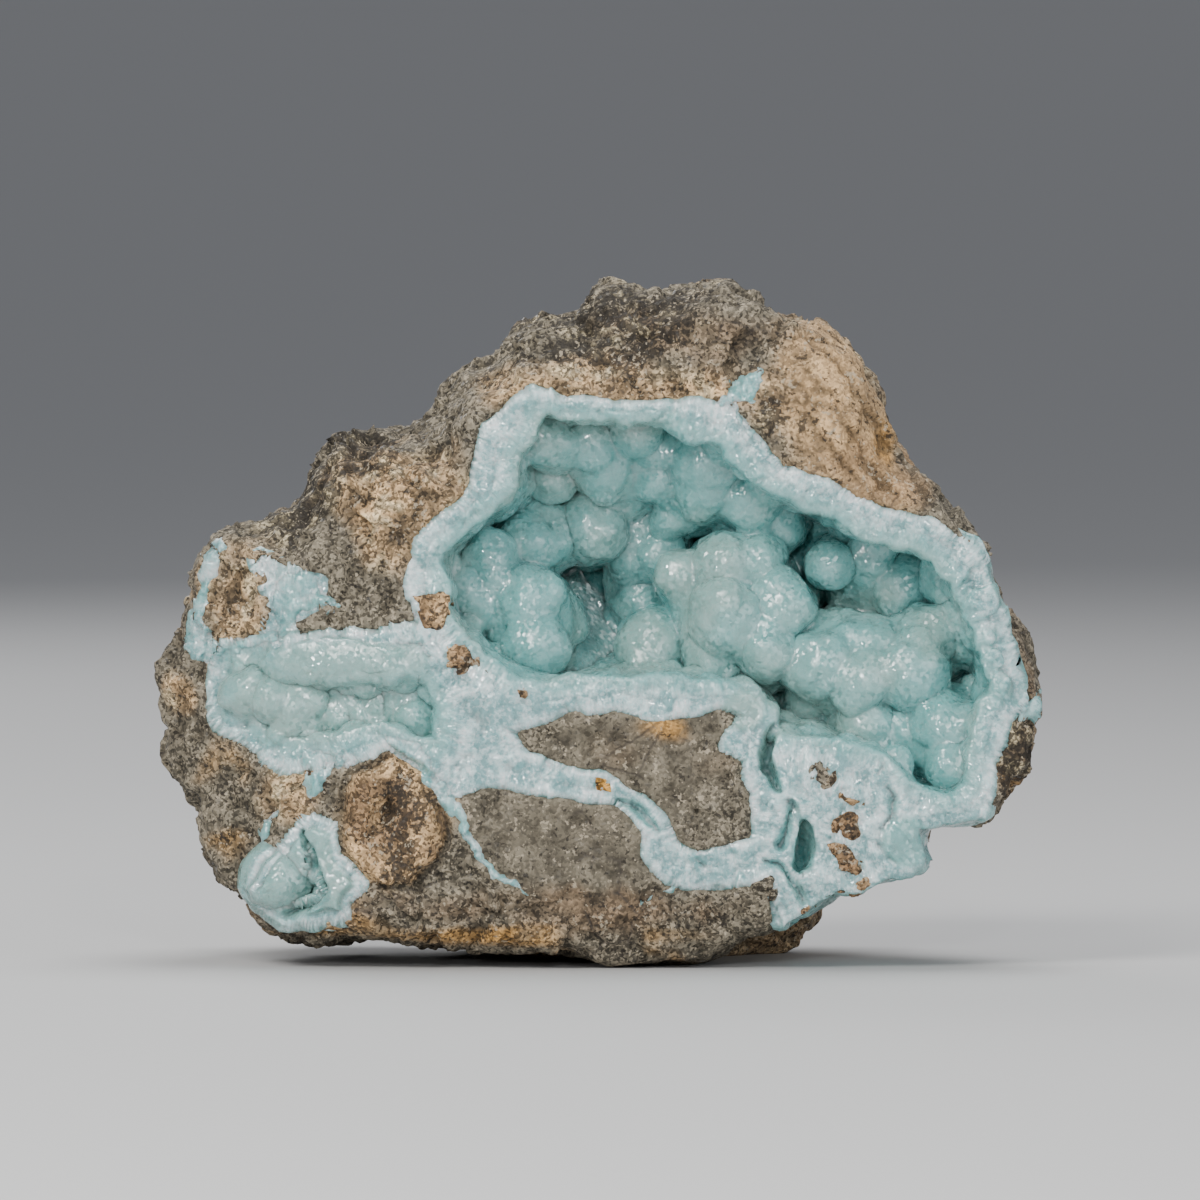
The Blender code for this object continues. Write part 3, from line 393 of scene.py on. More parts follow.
def bend(points, reach, size, seeds, octaves=1):
    """The points, each moved a little by noise, so that what is drawn on them gets uneven edges."""
    moves = [rough_noise(points, size, seed, octaves) for seed in seeds]
    return points + reach * np.stack(moves, axis=1)


def ease(low, high, values):
    """0 up to the low value and 1 from the high one, with a soft step between them."""
    share = np.clip((values - low) / (high - low), 0.0, 1.0)
    return share * share * (3 - 2 * share)


def zone_mask(points, zones, wander):
    """How far each point lies in the zones, as seen from the front, with wandering edges."""
    mask = np.zeros(len(points))
    for x, z, half_width, half_height in zones:
        away = np.hypot((points[:, 0] - x) / half_width, (points[:, 2] - z) / half_height) + 0.5 * wander
        mask = np.maximum(mask, 1 - ease(0.6, 1.35, away))
    return mask


def outline_distance(points, outline):
    """For each point, the distance to a closed outline, less than zero inside it, and the place along it."""
    best = np.full(len(points), FAR)
    along = np.zeros(len(points))
    inside = np.zeros(len(points), bool)
    x, z = points[:, 0], points[:, 2]
    run = 0.0
    for (ax, az), (bx, bz) in zip(outline, outline[1:] + outline[:1]):
        length = math.hypot(bx - ax, bz - az)
        share = np.clip(((x - ax) * (bx - ax) + (z - az) * (bz - az)) / length ** 2, 0.0, 1.0)
        away = np.hypot(x - ax - share * (bx - ax), z - az - share * (bz - az))
        closer = away < best
        best = np.where(closer, away, best)
        along = np.where(closer, run + share * length, along)
        crosses = (az > z) != (bz > z)
        slope = (bx - ax) / (bz - az) if bz != az else 0.0
        inside ^= crosses & (x < ax + (z - az) * slope)
        run += length
    return np.where(inside, -best, best), along


def nearest_outline(points, outlines):
    """For each point, the distance to the nearest of some closed outlines, less than zero inside one."""
    return np.minimum.reduce([outline_distance(points, outline)[0] for outline in outlines])


def nearest_edge(points, outlines):
    """For each point, the distance to the nearest edge of some closed outlines, on either side of it."""
    return np.minimum.reduce([np.abs(outline_distance(points, outline)[0]) for outline in outlines])


def drawn(pixels):
    """Photograph pixels as places on the front face, with their half widths where they have one."""
    places = []
    for x, z, *width in pixels:
        place = ((x - MIDDLE_PIXEL) / PIXELS, (UNDERSIDE_PIXEL - z) / PIXELS)
        places.append(place + tuple(half / PIXELS for half in width))
    return places


def rounded(outline, rounds=2):
    """A closed outline with its corners cut off."""
    for _ in range(rounds):
        cut = []
        for (ax, az), (bx, bz) in zip(outline, outline[1:] + outline[:1]):
            cut.append((0.75 * ax + 0.25 * bx, 0.75 * az + 0.25 * bz))
            cut.append((0.25 * ax + 0.75 * bx, 0.25 * az + 0.75 * bz))
        outline = cut
    return outline


def line_depth(points, line):
    """For each point, how far it lies inside a line that has a half width at each of its places."""
    best = np.full(len(points), -FAR)
    x, z = points[:, 0], points[:, 2]
    for (ax, az, a_half), (bx, bz, b_half) in zip(line, line[1:]):
        length = math.hypot(bx - ax, bz - az)
        share = np.clip(((x - ax) * (bx - ax) + (z - az) * (bz - az)) / length ** 2, 0.0, 1.0)
        away = np.hypot(x - ax - share * (bx - ax), z - az - share * (bz - az))
        best = np.maximum(best, a_half + share * (b_half - a_half) - away)
    return best


def vertex_places(mesh):
    values = np.empty(len(mesh.vertices) * 3, np.float32)
    mesh.vertices.foreach_get("co", values)
    return values.reshape(-1, 3).astype(np.float64)


def vertex_normals(mesh):
    values = np.empty(len(mesh.vertices) * 3, np.float32)
    mesh.vertex_normals.foreach_get("vector", values)
    return values.reshape(-1, 3).astype(np.float64)


def place_vertices(mesh, places):
    mesh.vertices.foreach_set("co", places.astype(np.float32).ravel())
    mesh.update()


def drawn_places(mesh):
    """The vertices in millimetres, in the frame that the outlines are drawn in."""
    return vertex_places(mesh) / MM - np.array(FRAME_SHIFT)


def store(mesh, name, values):
    """Keeps one value for each vertex, for the piece's material to read."""
    attribute = mesh.attributes.new(name, "FLOAT", "POINT")
    attribute.data.foreach_set("value", values.astype(np.float32))


def settle(obj):
    """Makes the object's modifiers part of its mesh."""
    graph = bpy.context.evaluated_depsgraph_get()
    mesh = bpy.data.meshes.new_from_object(obj.evaluated_get(graph))
    old = obj.data
    obj.modifiers.clear()
    obj.data = mesh
    bpy.data.meshes.remove(old)


def new_piece(bm, name):
    mesh = bpy.data.meshes.new(name)
    bm.to_mesh(mesh)
    bm.free()
    obj = bpy.data.objects.new(name, mesh)
    bpy.context.scene.collection.objects.link(obj)
    return obj


def merged_copy(node):
    """The frame's solid as one mesh, with its loose triangles joined."""
    bm = bmesh.new()
    bm.from_mesh(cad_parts[node].data)
    bmesh.ops.remove_doubles(bm, verts=bm.verts, dist=0.000002)
    bmesh.ops.recalc_face_normals(bm, faces=bm.faces)
    return bm


def remesh(obj, voxel):
    modifier = obj.modifiers.new("Remesh", "REMESH")
    modifier.mode = "VOXEL"
    modifier.voxel_size = voxel * MM
    settle(obj)


def weigh(obj, weights):
    """Puts the weights, in tenths, in a vertex group."""
    group = obj.vertex_groups.new(name="weight")
    levels = np.round(np.clip(weights, 0.0, 1.0) * 10).astype(int)
    for level in np.unique(levels):
        group.add(np.nonzero(levels == level)[0].tolist(), float(level) / 10, "REPLACE")
    return group.name


def soften(obj, rounds, weights=None):
    modifier = obj.modifiers.new("Smooth", "SMOOTH")
    modifier.factor = 0.5
    modifier.iterations = rounds
    if weights is not None:
        modifier.vertex_group = weigh(obj, weights)
    settle(obj)
    obj.vertex_groups.clear()


def thin_mesh(obj, most, weights=None):
    """Thins the mesh to the most triangles, where it is flattest or mostly where the weights are high."""
    count = sum(len(face.vertices) - 2 for face in obj.data.polygons)
    if count > most:
        modifier = obj.modifiers.new("Decimate", "DECIMATE")
        modifier.ratio = most / count
        modifier.use_collapse_triangulate = True
        if weights is not None:
            modifier.vertex_group = weigh(obj, weights)
            modifier.vertex_group_factor = 10.0
        settle(obj)
    obj.vertex_groups.clear()


def finish_piece(obj, node, material):
    """Gives the piece its material, puts it on the body and hides the frame's solid that it stands for, if
    any.
    """
    obj.data.materials.clear()
    obj.data.materials.append(material)
    obj.data.shade_smooth()
    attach(obj, BODY)
    if node:
        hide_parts(node)


def size_setting(name, description, value, least=0.0):
    return FloatProperty(name=name, description=description, default=value, min=least, unit="LENGTH")


def count_setting(name, description, value, least=0):
    return IntProperty(name=name, description=description, default=value, min=least)


def colour(name, description, value):
    return FloatVectorProperty(
        name=name, description=description, subtype="COLOR", size=3, min=0.0, max=1.0, default=value
    )


class SpecimenSizes(PropertyGroup):
    """Sizes of the fine forms, in metres where they have a unit."""

    rock_detail: size_setting("Rock detail", "Spacing of the rock's mesh", 0.00046, 0.0002)
    rock_grain: size_setting("Rock grain", "Height of the rock's grains", 0.00026)
    rock_ledge: size_setting("Rock ledges", "Height of the rock's chipped ledges", 0.0007)
    crust_detail: size_setting("Crust detail", "Spacing of the crust's mesh", 0.00035, 0.0002)
    crust_fusing: count_setting("Crust fusing", "How far the crust's lumps run into each other", 34)
    pocket_detail: size_setting("Pocket detail", "Spacing of the pocket's mesh", 0.00022, 0.0001)
    nodule_width: size_setting("Nodules", "Width of the small nodules on each lump", 0.0030)
    nodule_height: size_setting("Nodule height", "How far the nodules stand out", 0.00045)
    fibre_height: size_setting("Fibres", "Height of the fibres on the broken edge", 0.0003)
    seam_wander: size_setting("Seam wander", "How far the seams wander", 0.0006)
    most_triangles: count_setting("Most triangles", "Limit for one piece", 196000, 1000)


class SpecimenColours(PropertyGroup):
    """Colours of the rock and the crust."""

    rock_grey: colour("Grey rock", "The rock's main grey", (0.152, 0.131, 0.095))
    rock_tan: colour("Tan rock", "Weathered tan rock", (0.470, 0.305, 0.155))
    rock_brown: colour("Brown rock", "Brown stained rock", (0.200, 0.120, 0.062))
    rock_ochre: colour("Ochre rock", "Yellow iron stain", (0.460, 0.235, 0.050))
    # This dark also paints shade in the rock's hollows and pits; in the mottles it is the rock's own dark
    rock_dark: colour("Dark rock", "Dark hollows and mottles", (0.030, 0.025, 0.017))
    rock_cream: colour("Cream rock", "Pale weathered crystals", (0.600, 0.500, 0.310))
    crust_aqua: colour("Aqua crust", "The lumps' colour", (0.170, 0.415, 0.405))
    # Its teal is painted shade: laid in the crust's creases, farther back in the hollow and in the broken
    # edge's slits
    crust_shade_teal: colour("Teal crust", "The crust's colour deep in the creases", (0.060, 0.220, 0.225))
    crust_pale: colour("Pale crust", "The fibrous broken edge", (0.420, 0.620, 0.625))
    crust_grey: colour("Grey crust", "The tops of the older lumps", (0.300, 0.435, 0.395))
    crust_white: colour("White crust", "The whitest fibres of the broken edge", (0.780, 0.860, 0.870))
    crust_blue: colour("Blue crust", "The clearer patches of the broken edge", (0.150, 0.350, 0.365))


class SpecimenSettings(PropertyGroup):
    """All the specimen's settings."""

    sizes: PointerProperty(type=SpecimenSizes, name="Sizes", description="Sizes of the fine forms")
    colours: PointerProperty(type=SpecimenColours, name="Colours", description="Colours of rock and crust")


def sizes():
    return bpy.context.scene.specimen.sizes


def colours():
    return bpy.context.scene.specimen.colours


def wander(points, reach):
    """Sideways moves that make straight seams wander, the same for every piece."""
    move = np.zeros_like(points)
    for axis, seed in ((0, 11), (2, 31)):
        move[:, axis] = reach * (soft_noise(points, 4.2, seed) + 0.6 * soft_noise(points, 1.7, seed + 5))
    return move


def front_share(points):
    """1 on the open front and its slopes, down to 0 on the back."""
    return 1 - ease(-14.0, -2.0, points[:, 1])


def keep_in_box(places):
    low, high = (np.array(corner) for corner in CAD_BOX)
    return np.clip(places, low, high)


def front_zones(points, zones, edge):
    """How far each point lies in the zones on the open front, and 0 on the back."""
    return zone_mask(points, zones, edge) * front_share(points)


def zone_edge(points):
    """Noise that makes the edges of the zones wander."""
    return rough_noise(points, 7.0, 73, 3)


def hollowness(mesh, rounds):
    """How far each vertex lies below the average of its surroundings, in millimetres."""
    ends = np.empty(len(mesh.edges) * 2, np.int32)
    mesh.edges.foreach_get("vertices", ends)
    first, second = ends[0::2], ends[1::2]
    total = len(mesh.vertices)
    count = np.bincount(first, minlength=total) + np.bincount(second, minlength=total)
    start = vertex_places(mesh)
    places = start.copy()
    for _ in range(rounds):
        for axis in range(3):
            sums = np.bincount(first, places[second, axis], total)
            sums = sums + np.bincount(second, places[first, axis], total)
            places[:, axis] = sums / np.maximum(count, 1)
    return ((places - start) * vertex_normals(mesh)).sum(axis=1) / MM


def raise_surface(obj, heights):
    """Moves each vertex along its normal by its height in millimetres."""
    mesh = obj.data
    places = vertex_places(mesh) + vertex_normals(mesh) * heights[:, None] * MM
    place_vertices(mesh, keep_in_box(places))


def crust_cover(points):
    """How far each point lies inside the crust's part of the front face, less than zero on the rock's."""
    seam, _ = outline_distance(points, MAIN_SEAM)
    slab, _ = outline_distance(points, SLAB_SEAM)
    pocket, _ = outline_distance(points, POCKET_SEAM)
    return np.maximum(np.minimum(-seam, slab), -pocket)


def against_crust(obj):
    """Where the rock's surface is hidden against a crust, and where it is the outside of a thin wall."""
    trees = []
    for name in ("main_crust", "pocket_crust"):
        solid = merged_copy(name)
        trees.append(BVHTree.FromBMesh(solid))
        solid.free()
    points = drawn_places(obj.data)
    places = vertex_places(obj.data)
    normals = vertex_normals(obj.data)
    hidden = np.zeros(len(points))
    thin = np.zeros(len(points))
    for index in np.nonzero((crust_cover(points) > -3.5) & (points[:, 1] < 22.0))[0]:
        for tree in trees:
            _, normal, _, away = tree.find_nearest(Vector(places[index]))
            if normal.dot(Vector(normals[index])) < 0:
                hidden[index] = max(hidden[index], 1.6 - away / MM)
            else:
                thin[index] = max(thin[index], 3.0 - away / MM)
    return ease(0.0, 0.8, hidden), ease(0.0, 1.5, thin)


def fit_outline(obj):
    """Brings the sides in where they stand outside the specimen's outline, except near what it rests on."""
    points = drawn_places(obj.data)
    away = outline_distance(points, ROCK_OUTLINE)[0]
    pull = 0.8 * np.maximum(0.0, away + OUTLINE_MARGIN) * ease(5.0, 9.0, points[:, 2])
    moved = vertex_places(obj.data)
    short = 0.05
    for axis in (0, 2):
        step = np.zeros(3)
        step[axis] = short
        slope = (outline_distance(points + step, ROCK_OUTLINE)[0] - away) / short
        moved[:, axis] -= np.clip(slope, -1.0, 1.0) * pull * MM
    place_vertices(obj.data, moved)


def sink_past_seam(obj, cover_sign, reach):
    """Sinks what runs past a piece's seam near the front, so that the seam stays a clean line."""
    points = drawn_places(obj.data)
    past = ease(0.0, 0.45, cover_sign * crust_cover(points))
    near_front = 1 - ease(1.5, 3.0, points[:, 1] - front_depth(points))
    moved = vertex_places(obj.data)
    moved[:, 1] += reach * past * near_front * MM
    place_vertices(obj.data, moved)


def rock_heights(points, rough, coarse):
    """Chipped ledges, lumps, grains and pits of the rock."""
    grain = sizes().rock_grain / MM
    ledge = sizes().rock_ledge / MM
    bent = bend(points, 0.8, 4.0, (41, 43, 47))
    chips = chip_noise(bent, 6.0, 53)
    chips_small = chip_noise(bent, 2.3, 59)
    grains = rough_noise(points, 1.5, 61, 2)
    pits = ease(0.3, 0.7, soft_noise(points, 2.2, 67))
    crumbs = soft_noise(points, 0.95, 71)
    height = ledge * (1.3 * chips * (0.15 + 0.85 * rough) + 0.32 * chips_small * (0.3 + rough))
    height += grain * (0.8 * grains * (0.4 + rough) + crumbs * (0.25 + 0.9 * coarse))
    height -= grain * 2.2 * pits * (0.1 + coarse)
    height += 1.6 * ledge * flakes(bent) * (1 - coarse)
    return height + rock_features(points) * front_share(points)


def flakes(points):
    """Thin layers that break off in steps, one behind the other, on the right side of the rock."""
    slope = (points[:, 0] * 0.82 + points[:, 2] * 0.57 + 1.2 * soft_noise(points, 9.0, 173)) / 3.1
    part = slope - np.floor(slope)
    here = ease(24.0, 34.0, points[:, 0]) * ease(52.0, 60.0, points[:, 2])
    return (0.5 - part) * here


def rock_features(points):
    """The rock's round knob with its hollow middle, and its larger pits."""
    bent = bend(points, 0.9, 3.0, (91, 93, 97))
    knob = -outline_distance(bent, drawn(KNOB))[0]
    height = 1.5 * ease(0.0, 1.6, knob) - 0.7 * ease(-1.3, -0.3, knob) * (1 - ease(-0.3, 0.6, knob))
    for x, z, radius, depth in ROCK_PITS:
        away = np.hypot(bent[:, 0] - x, bent[:, 2] - z)
        height -= depth * (1 - ease(0.35 * radius, radius, away))
    return height


def even_tone(points, value):
    return np.repeat(np.array(value)[None, :], len(points), axis=0)


def layered(base, layers):
    """The base colours with further ones laid over them, each by its own mask."""
    for value, mask in layers:
        base = base * (1 - mask[:, None]) + np.array(value)[None, :] * mask[:, None]
    return base


def rock_tones(points, height):
    """The rock's broad colour at each point, with painted shade in its hollows."""
    tones = colours()
    front = front_share(points)
    edge = zone_edge(points)
    broad = rough_noise(points, 26.0, 79, 2)
    patchy = rough_noise(points, 9.0, 83, 3)
    back = 1 - front
    tan = np.maximum(front_zones(points, TAN_ZONES, edge), back * ease(-0.1, 0.6, broad) * 0.8)
    brown = np.maximum(front_zones(points, BROWN_ZONES, edge), back * ease(0.3, 0.9, patchy))
    ochre = np.maximum(front_zones(points, OCHRE_ZONES, edge), back * ease(0.75, 1.1, -patchy) * 0.6)
    # Dark: partly painted shade over the upper left pits, partly darker patches of rock and of its back
    dark = np.maximum(front_zones(points, DARK_AND_SHADE_ZONES, edge) * 0.8, ease(0.5, 1.1, -broad) * back * 0.4)
    coarse = np.maximum(dark, 0.85 * tan) * (1 - front_zones(points, SMOOTH_ZONES, edge))
    coarse = np.maximum(coarse, 0.45 * back)
    mottle = rough_noise(points, 2.2, 177, 3)
    base = layered(even_tone(points, tones.rock_grey), [
        (tones.rock_tan, tan * (0.75 + 0.25 * ease(-0.5, 0.5, patchy))),
        (tones.rock_brown, brown * 0.55 * ease(-0.6, 0.6, patchy)),
        (tones.rock_ochre, ochre * 0.7 * ease(-0.4, 0.5, edge)),
        (tones.rock_dark, dark * ease(-0.5, 0.6, patchy) * 0.75),
        (tones.rock_dark, coarse * ease(0.0, 0.6, mottle) * 0.85),
        (tones.rock_cream, coarse * ease(0.1, 0.7, -mottle) * 0.75),
    ] + knob_layers(points, mottle))
    # Painted shade: darker where the surface lies in a hollow
    return layered(base, [(tones.rock_dark, ease(0.1, 0.9, -height) * 0.6)])


def knob_layers(points, mottle):
    """The knob's tan shoulders, the dark ring round its hollow and the thin dark line round it."""
    tones = colours()
    bent = bend(points, 0.9, 3.0, (91, 93, 97))
    knob = -outline_distance(bent, drawn(KNOB))[0]
    inside = ease(-0.3, 0.5, knob) * front_share(points)
    middle = np.hypot(bent[:, 0] - ROCK_PITS[2][0], bent[:, 2] - ROCK_PITS[2][1])
    ring = ease(1.6, 2.4, middle) * (1 - ease(4.2, 6.0, middle))
    line = ease(-1.2, -0.4, knob) * (1 - ease(-0.3, 0.4, knob)) * front_share(points)
    return [
        (tones.rock_tan, inside * 0.9),
        (tones.rock_brown, inside * np.clip(ring + ease(0.1, 0.6, mottle) * 0.6, 0, 1) * 0.8),
        (tones.rock_dark, inside * ring * ease(-0.2, 0.5, mottle) * 0.6),
        (tones.rock_dark, line * 0.6),
    ]


def store_colour(mesh, name, values):
    attribute = mesh.attributes.new(name, "FLOAT_COLOR", "POINT")
    opaque = np.concatenate([values, np.ones((len(values), 1))], axis=1)
    attribute.data.foreach_set("color", opaque.astype(np.float32).ravel())


def dress_rock(obj):
    """Gives a rock piece its fine forms, its broad tones and the masks that its material reads."""
    points = drawn_places(obj.data)
    edge = zone_edge(points)
    smooth = front_zones(points, SMOOTH_ZONES, edge)
    coarse = np.maximum(front_zones(points, DARK_AND_SHADE_ZONES + TAN_ZONES[:1] + TAN_ZONES[2:3], edge),
                        0.35 * ease(-0.2, 0.6, soft_noise(points, 15.0, 89)))
    rough = 1 - 0.75 * smooth
    hidden, thin = against_crust(obj)
    height = rock_heights(points, rough, coarse) * (1 - hidden)
    height = np.where(height < 0, height * (1 - thin), height) + 0.4 * thin * away_from_front(points)
    rest = 1 - ease(0.2, 2.2, points[:, 2])
    height = height * (1 - 0.85 * rest)
    raise_surface(obj, height)
    sink_past_seam(obj, 1.0, 0.8)
    moves = wander(points, sizes().seam_wander / MM) * (1 - rest[:, None])
    place_vertices(obj.data, keep_in_box(vertex_places(obj.data) + moves * MM))
    thin_mesh(obj, sizes().most_triangles)
    points = drawn_places(obj.data)
    edge = zone_edge(points)
    smooth = front_zones(points, SMOOTH_ZONES, edge)
    # The tone is darkened in the rock's hollows as painted shade
    store_colour(obj.data, "tone", rock_tones(points, -6.0 * hollowness(obj.data, 6)))
    store(obj.data, "smooth", smooth)
    # The dark zones, partly painted shade over the upper left pits, also thicken the rock's black specks
    store(obj.data, "dark", front_zones(points, DARK_AND_SHADE_ZONES, edge))


class SPECIMEN_OT_rock(Operator):
    """Make the rock from the frame's matrix, with its ledges, pits and grains"""

    bl_idname = "specimen.rock"
    bl_label = "Rock"

    def execute(self, context):
        obj = new_piece(merged_copy("matrix"), "rock")
        hidden, _ = against_crust(obj)
        points = drawn_places(obj.data)
        thin_side = ease(34.0, 40.0, points[:, 0]) * away_from_front(points)
        raise_surface(obj, 0.8 * hidden * thin_side)
        remesh(obj, sizes().rock_detail / MM)
        soften(obj, 5)
        fit_outline(obj)
        hidden, _ = against_crust(obj)
        thin_mesh(obj, 1.45 * sizes().most_triangles, hidden * away_from_front(drawn_places(obj.data)))
        dress_rock(obj)
        finish_piece(obj, "matrix", rock_material())
        return {"FINISHED"}


def ball_shape(subdivisions):
    """The corners and faces of a ball of radius 1."""
    bm = bmesh.new()
    bmesh.ops.create_icosphere(bm, subdivisions=subdivisions, radius=1.0)
    corners = [vert.co.copy() for vert in bm.verts]
    faces = [[vert.index for vert in face.verts] for face in bm.faces]
    bm.free()
    return corners, faces


def add_shape(bm, corners, faces):
    verts = [bm.verts.new(corner) for corner in corners]
    for face in faces:
        bm.faces.new([verts[index] for index in face])


def add_lumps(bm, lumps):
    """Rounded lumps, each with its front at its depth behind the front face."""
    shift = Vector(FRAME_SHIFT)
    corners, faces = ball_shape(4)
    for x, front, z, radius, stretch in lumps:
        back = radius * (2 * stretch - 1)
        moved = []
        for corner in corners:
            along = corner.y * (radius if corner.y < 0 else back)
            place = Vector((x + corner.x * radius, FRONT_Y + front + radius + along, z + corner.z * radius))
            moved.append((place + shift) * MM)
        add_shape(bm, moved, faces)


def wall_lumps(points, normals, rims, count, radii, seed):
    """Small lumps scattered over a hollow's walls, as places and radii."""
    rim = nearest_outline(points, rims)
    open_wall = (rim < 1.5) & (points[:, 1] > FRONT_Y + 2.0)
    toward_open = normals[:, 1] < 0.55
    chosen = np.nonzero(open_wall & toward_open)[0]
    generator = np.random.default_rng(seed)
    places = np.empty((count, 3))
    widths = np.empty(count)
    total = 0
    for index in generator.permutation(chosen):
        radius = generator.uniform(*radii)
        place = points[index] - normals[index] * radius * generator.uniform(0.45, 0.75)
        radius = min(radius, room_for_ball(place))
        if radius < radii[0] * 0.8:
            continue
        apart = np.linalg.norm(places[:total] - place, axis=1)
        if np.all(apart > 0.62 * (radius + widths[:total])):
            places[total], widths[total] = place, radius
            total += 1
        if total == count:
            break
    return list(zip(places[:total], widths[:total]))


def room_for_ball(place):
    """The largest radius at a place that stays behind the front face and inside the seams near it."""
    point = np.array([place])
    behind = place[1] - front_depth(point)[0]
    return min(behind - 0.6, max(crust_cover(point)[0] - 0.3, behind - 9.0))


def rim_lumps(outline, spacing, radii, seed):
    """Lumps along a hollow's rim that give it a scalloped edge, as places and radii."""
    generator = np.random.default_rng(seed)
    lumps = []
    run = 0.0
    for (ax, az), (bx, bz) in zip(outline, outline[1:] + outline[:1]):
        length = math.hypot(bx - ax, bz - az)
        out_x, out_z = (bz - az) / length, (ax - bx) / length
        tried = np.array([((ax + bx) / 2 + 0.1 * out_x, FRONT_Y, (az + bz) / 2 + 0.1 * out_z)])
        if outline_distance(tried, outline)[0][0] < 0:
            out_x, out_z = -out_x, -out_z
        while run < length:
            share = run / length
            radius = generator.uniform(*radii)
            away = radius * generator.uniform(0.25, 0.75)
            front = front_depth(np.array([(ax, 0.0, az)]))[0] + generator.uniform(0.7, 1.5)
            place = np.array((ax + share * (bx - ax) + away * out_x, front + radius,
                              az + share * (bz - az) + away * out_z))
            radius = min(radius, room_for_ball(place))
            if radius > 0.7:
                lumps.append((place, radius))
            run += spacing * generator.uniform(0.7, 1.3)
        run -= length
    return lumps


def scattered_lumps(outline, highest, count, radii, depths, seed):
    """Small lumps in front of the larger ones in a hollow, up to a height."""
    generator = np.random.default_rng(seed)
    xs, zs = zip(*outline)
    lumps = []
    while len(lumps) < count:
        x, z = generator.uniform(min(xs), max(xs)), generator.uniform(min(zs), highest)
        radius = generator.uniform(*radii)
        inside = -outline_distance(np.array([(x, FRONT_Y, z)]), outline)[0][0]
        if inside > 0.5 * radius:
            lumps.append((x, generator.uniform(*depths), z, radius, 2.4))
    return lumps


def add_balls(bm, balls):
    """Balls, each at its place with its radius."""
    shift = Vector(FRAME_SHIFT)
    corners, faces = ball_shape(3)
    for place, radius in balls:
        centre = (Vector(place) + shift) * MM
        add_shape(bm, [centre + corner * radius * MM for corner in corners], faces)


def inside_hollow(points, rims):
    """1 where the crust faces its hollow, less in the left hollow, and 0 on its broken face and the seams."""
    rim = nearest_outline(points, rims)
    inside = np.maximum(1 - ease(-0.2, 1.4, rim), ease(3.5, 6.0, points[:, 1] - front_depth(points)))
    return inside * (1 - 0.75 * ease(21.5, 24.0, -points[:, 0]))


def front_depth(points):
    """How deep the front face lies, away from its small forms: it falls back towards the left."""
    return FRONT_Y + 0.010 * np.maximum(0.0, -points[:, 0] - 24.0) ** 2


def touching_rock(obj):
    """1 where a crust's surface lies against the rock and is never seen."""
    solid = merged_copy("matrix")
    tree = BVHTree.FromBMesh(solid)
    solid.free()
    places = vertex_places(obj.data)
    near = np.array([tree.find_nearest(Vector(place))[3] for place in places])
    return 1 - ease(0.8, 1.4, near / MM)


def away_from_front(points):
    return ease(3.0, 5.0, points[:, 1] - front_depth(points))


def crust_masks(points, normals, rims, seams, width):
    """Where the crust faces the front, where it shows its broken edge, and how its fibres run there."""
    rim = nearest_outline(points, rims)
    seam = nearest_edge(points, seams)
    edge = np.full(len(points), FAR)
    along = np.zeros(len(points))
    for number, outline in enumerate(rims + seams):
        away, run = outline_distance(points, outline)
        closer = np.abs(away) < edge
        edge = np.where(closer, np.abs(away), edge)
        along = np.where(closer, run + 100.0 * number, along)
    facing = ease(0.5, 0.9, -normals[:, 1]) * (1 - ease(2.5, 4.1, points[:, 1] - front_depth(points)))
    grown = np.ones(len(points))
    for x, z, half_width, half_height in GROWN_FACES:
        away = np.hypot((points[:, 0] - x) / half_width, (points[:, 2] - z) / half_height)
        grown *= ease(0.8, 1.05, away)
    band = facing * ease(-1.2, 0.4, rim) * grown * (1 - ease(0.7, 1.2, seam / width))
    return facing, band, edge, along


def crust_heights(points, facing, band, along, edge):
    """Nodules on the lumps, and fibres across the broken edge."""
    nodule = sizes().nodule_height / MM
    width = sizes().nodule_width / MM
    fibre = sizes().fibre_height / MM
    bent = bend(points, 0.6, 2.8, (101, 103, 107))
    strong = ease(-0.5, 0.6, soft_noise(points, 6.0, 111)) + 1.6 * ease(21.5, 24.0, -points[:, 0])
    lumps = nodule * lump_noise(bent, width, 109) * (0.35 + 0.65 * strong)
    lumps += nodule * 0.42 * lump_noise(points, width * 0.45, 113)
    across = np.stack([along * 1.0, edge * 0.28, np.zeros(len(points))], axis=1)
    blades = soft_noise(across, 0.85, 127) + 0.7 * soft_noise(points, 1.1, 131)
    blades = blades + 0.6 * soft_noise(points, 3.1, 137)
    uneven = 0.45 * soft_noise(points, 3.3, 167) + 0.25 * lump_noise(points, 2.4, 187)
    return lumps * (1 - band) + (fibre * blades + uneven) * band - slit_depths(points) * facing


def grown_age(points):
    """How old and frosted the crust is, from 0 to 1, in broad patches."""
    return ease(-0.5, 0.7, rough_noise(points, 11.0, 139, 3))


def slit_depths(points):
    """How deep the open slits cut into the crust's face at each point."""
    depths = np.zeros(len(points))
    for depth, line in CRUST_SLITS:
        depths = np.maximum(depths, depth * ease(-0.3, 0.5, line_depth(points, drawn(line))))
    return depths


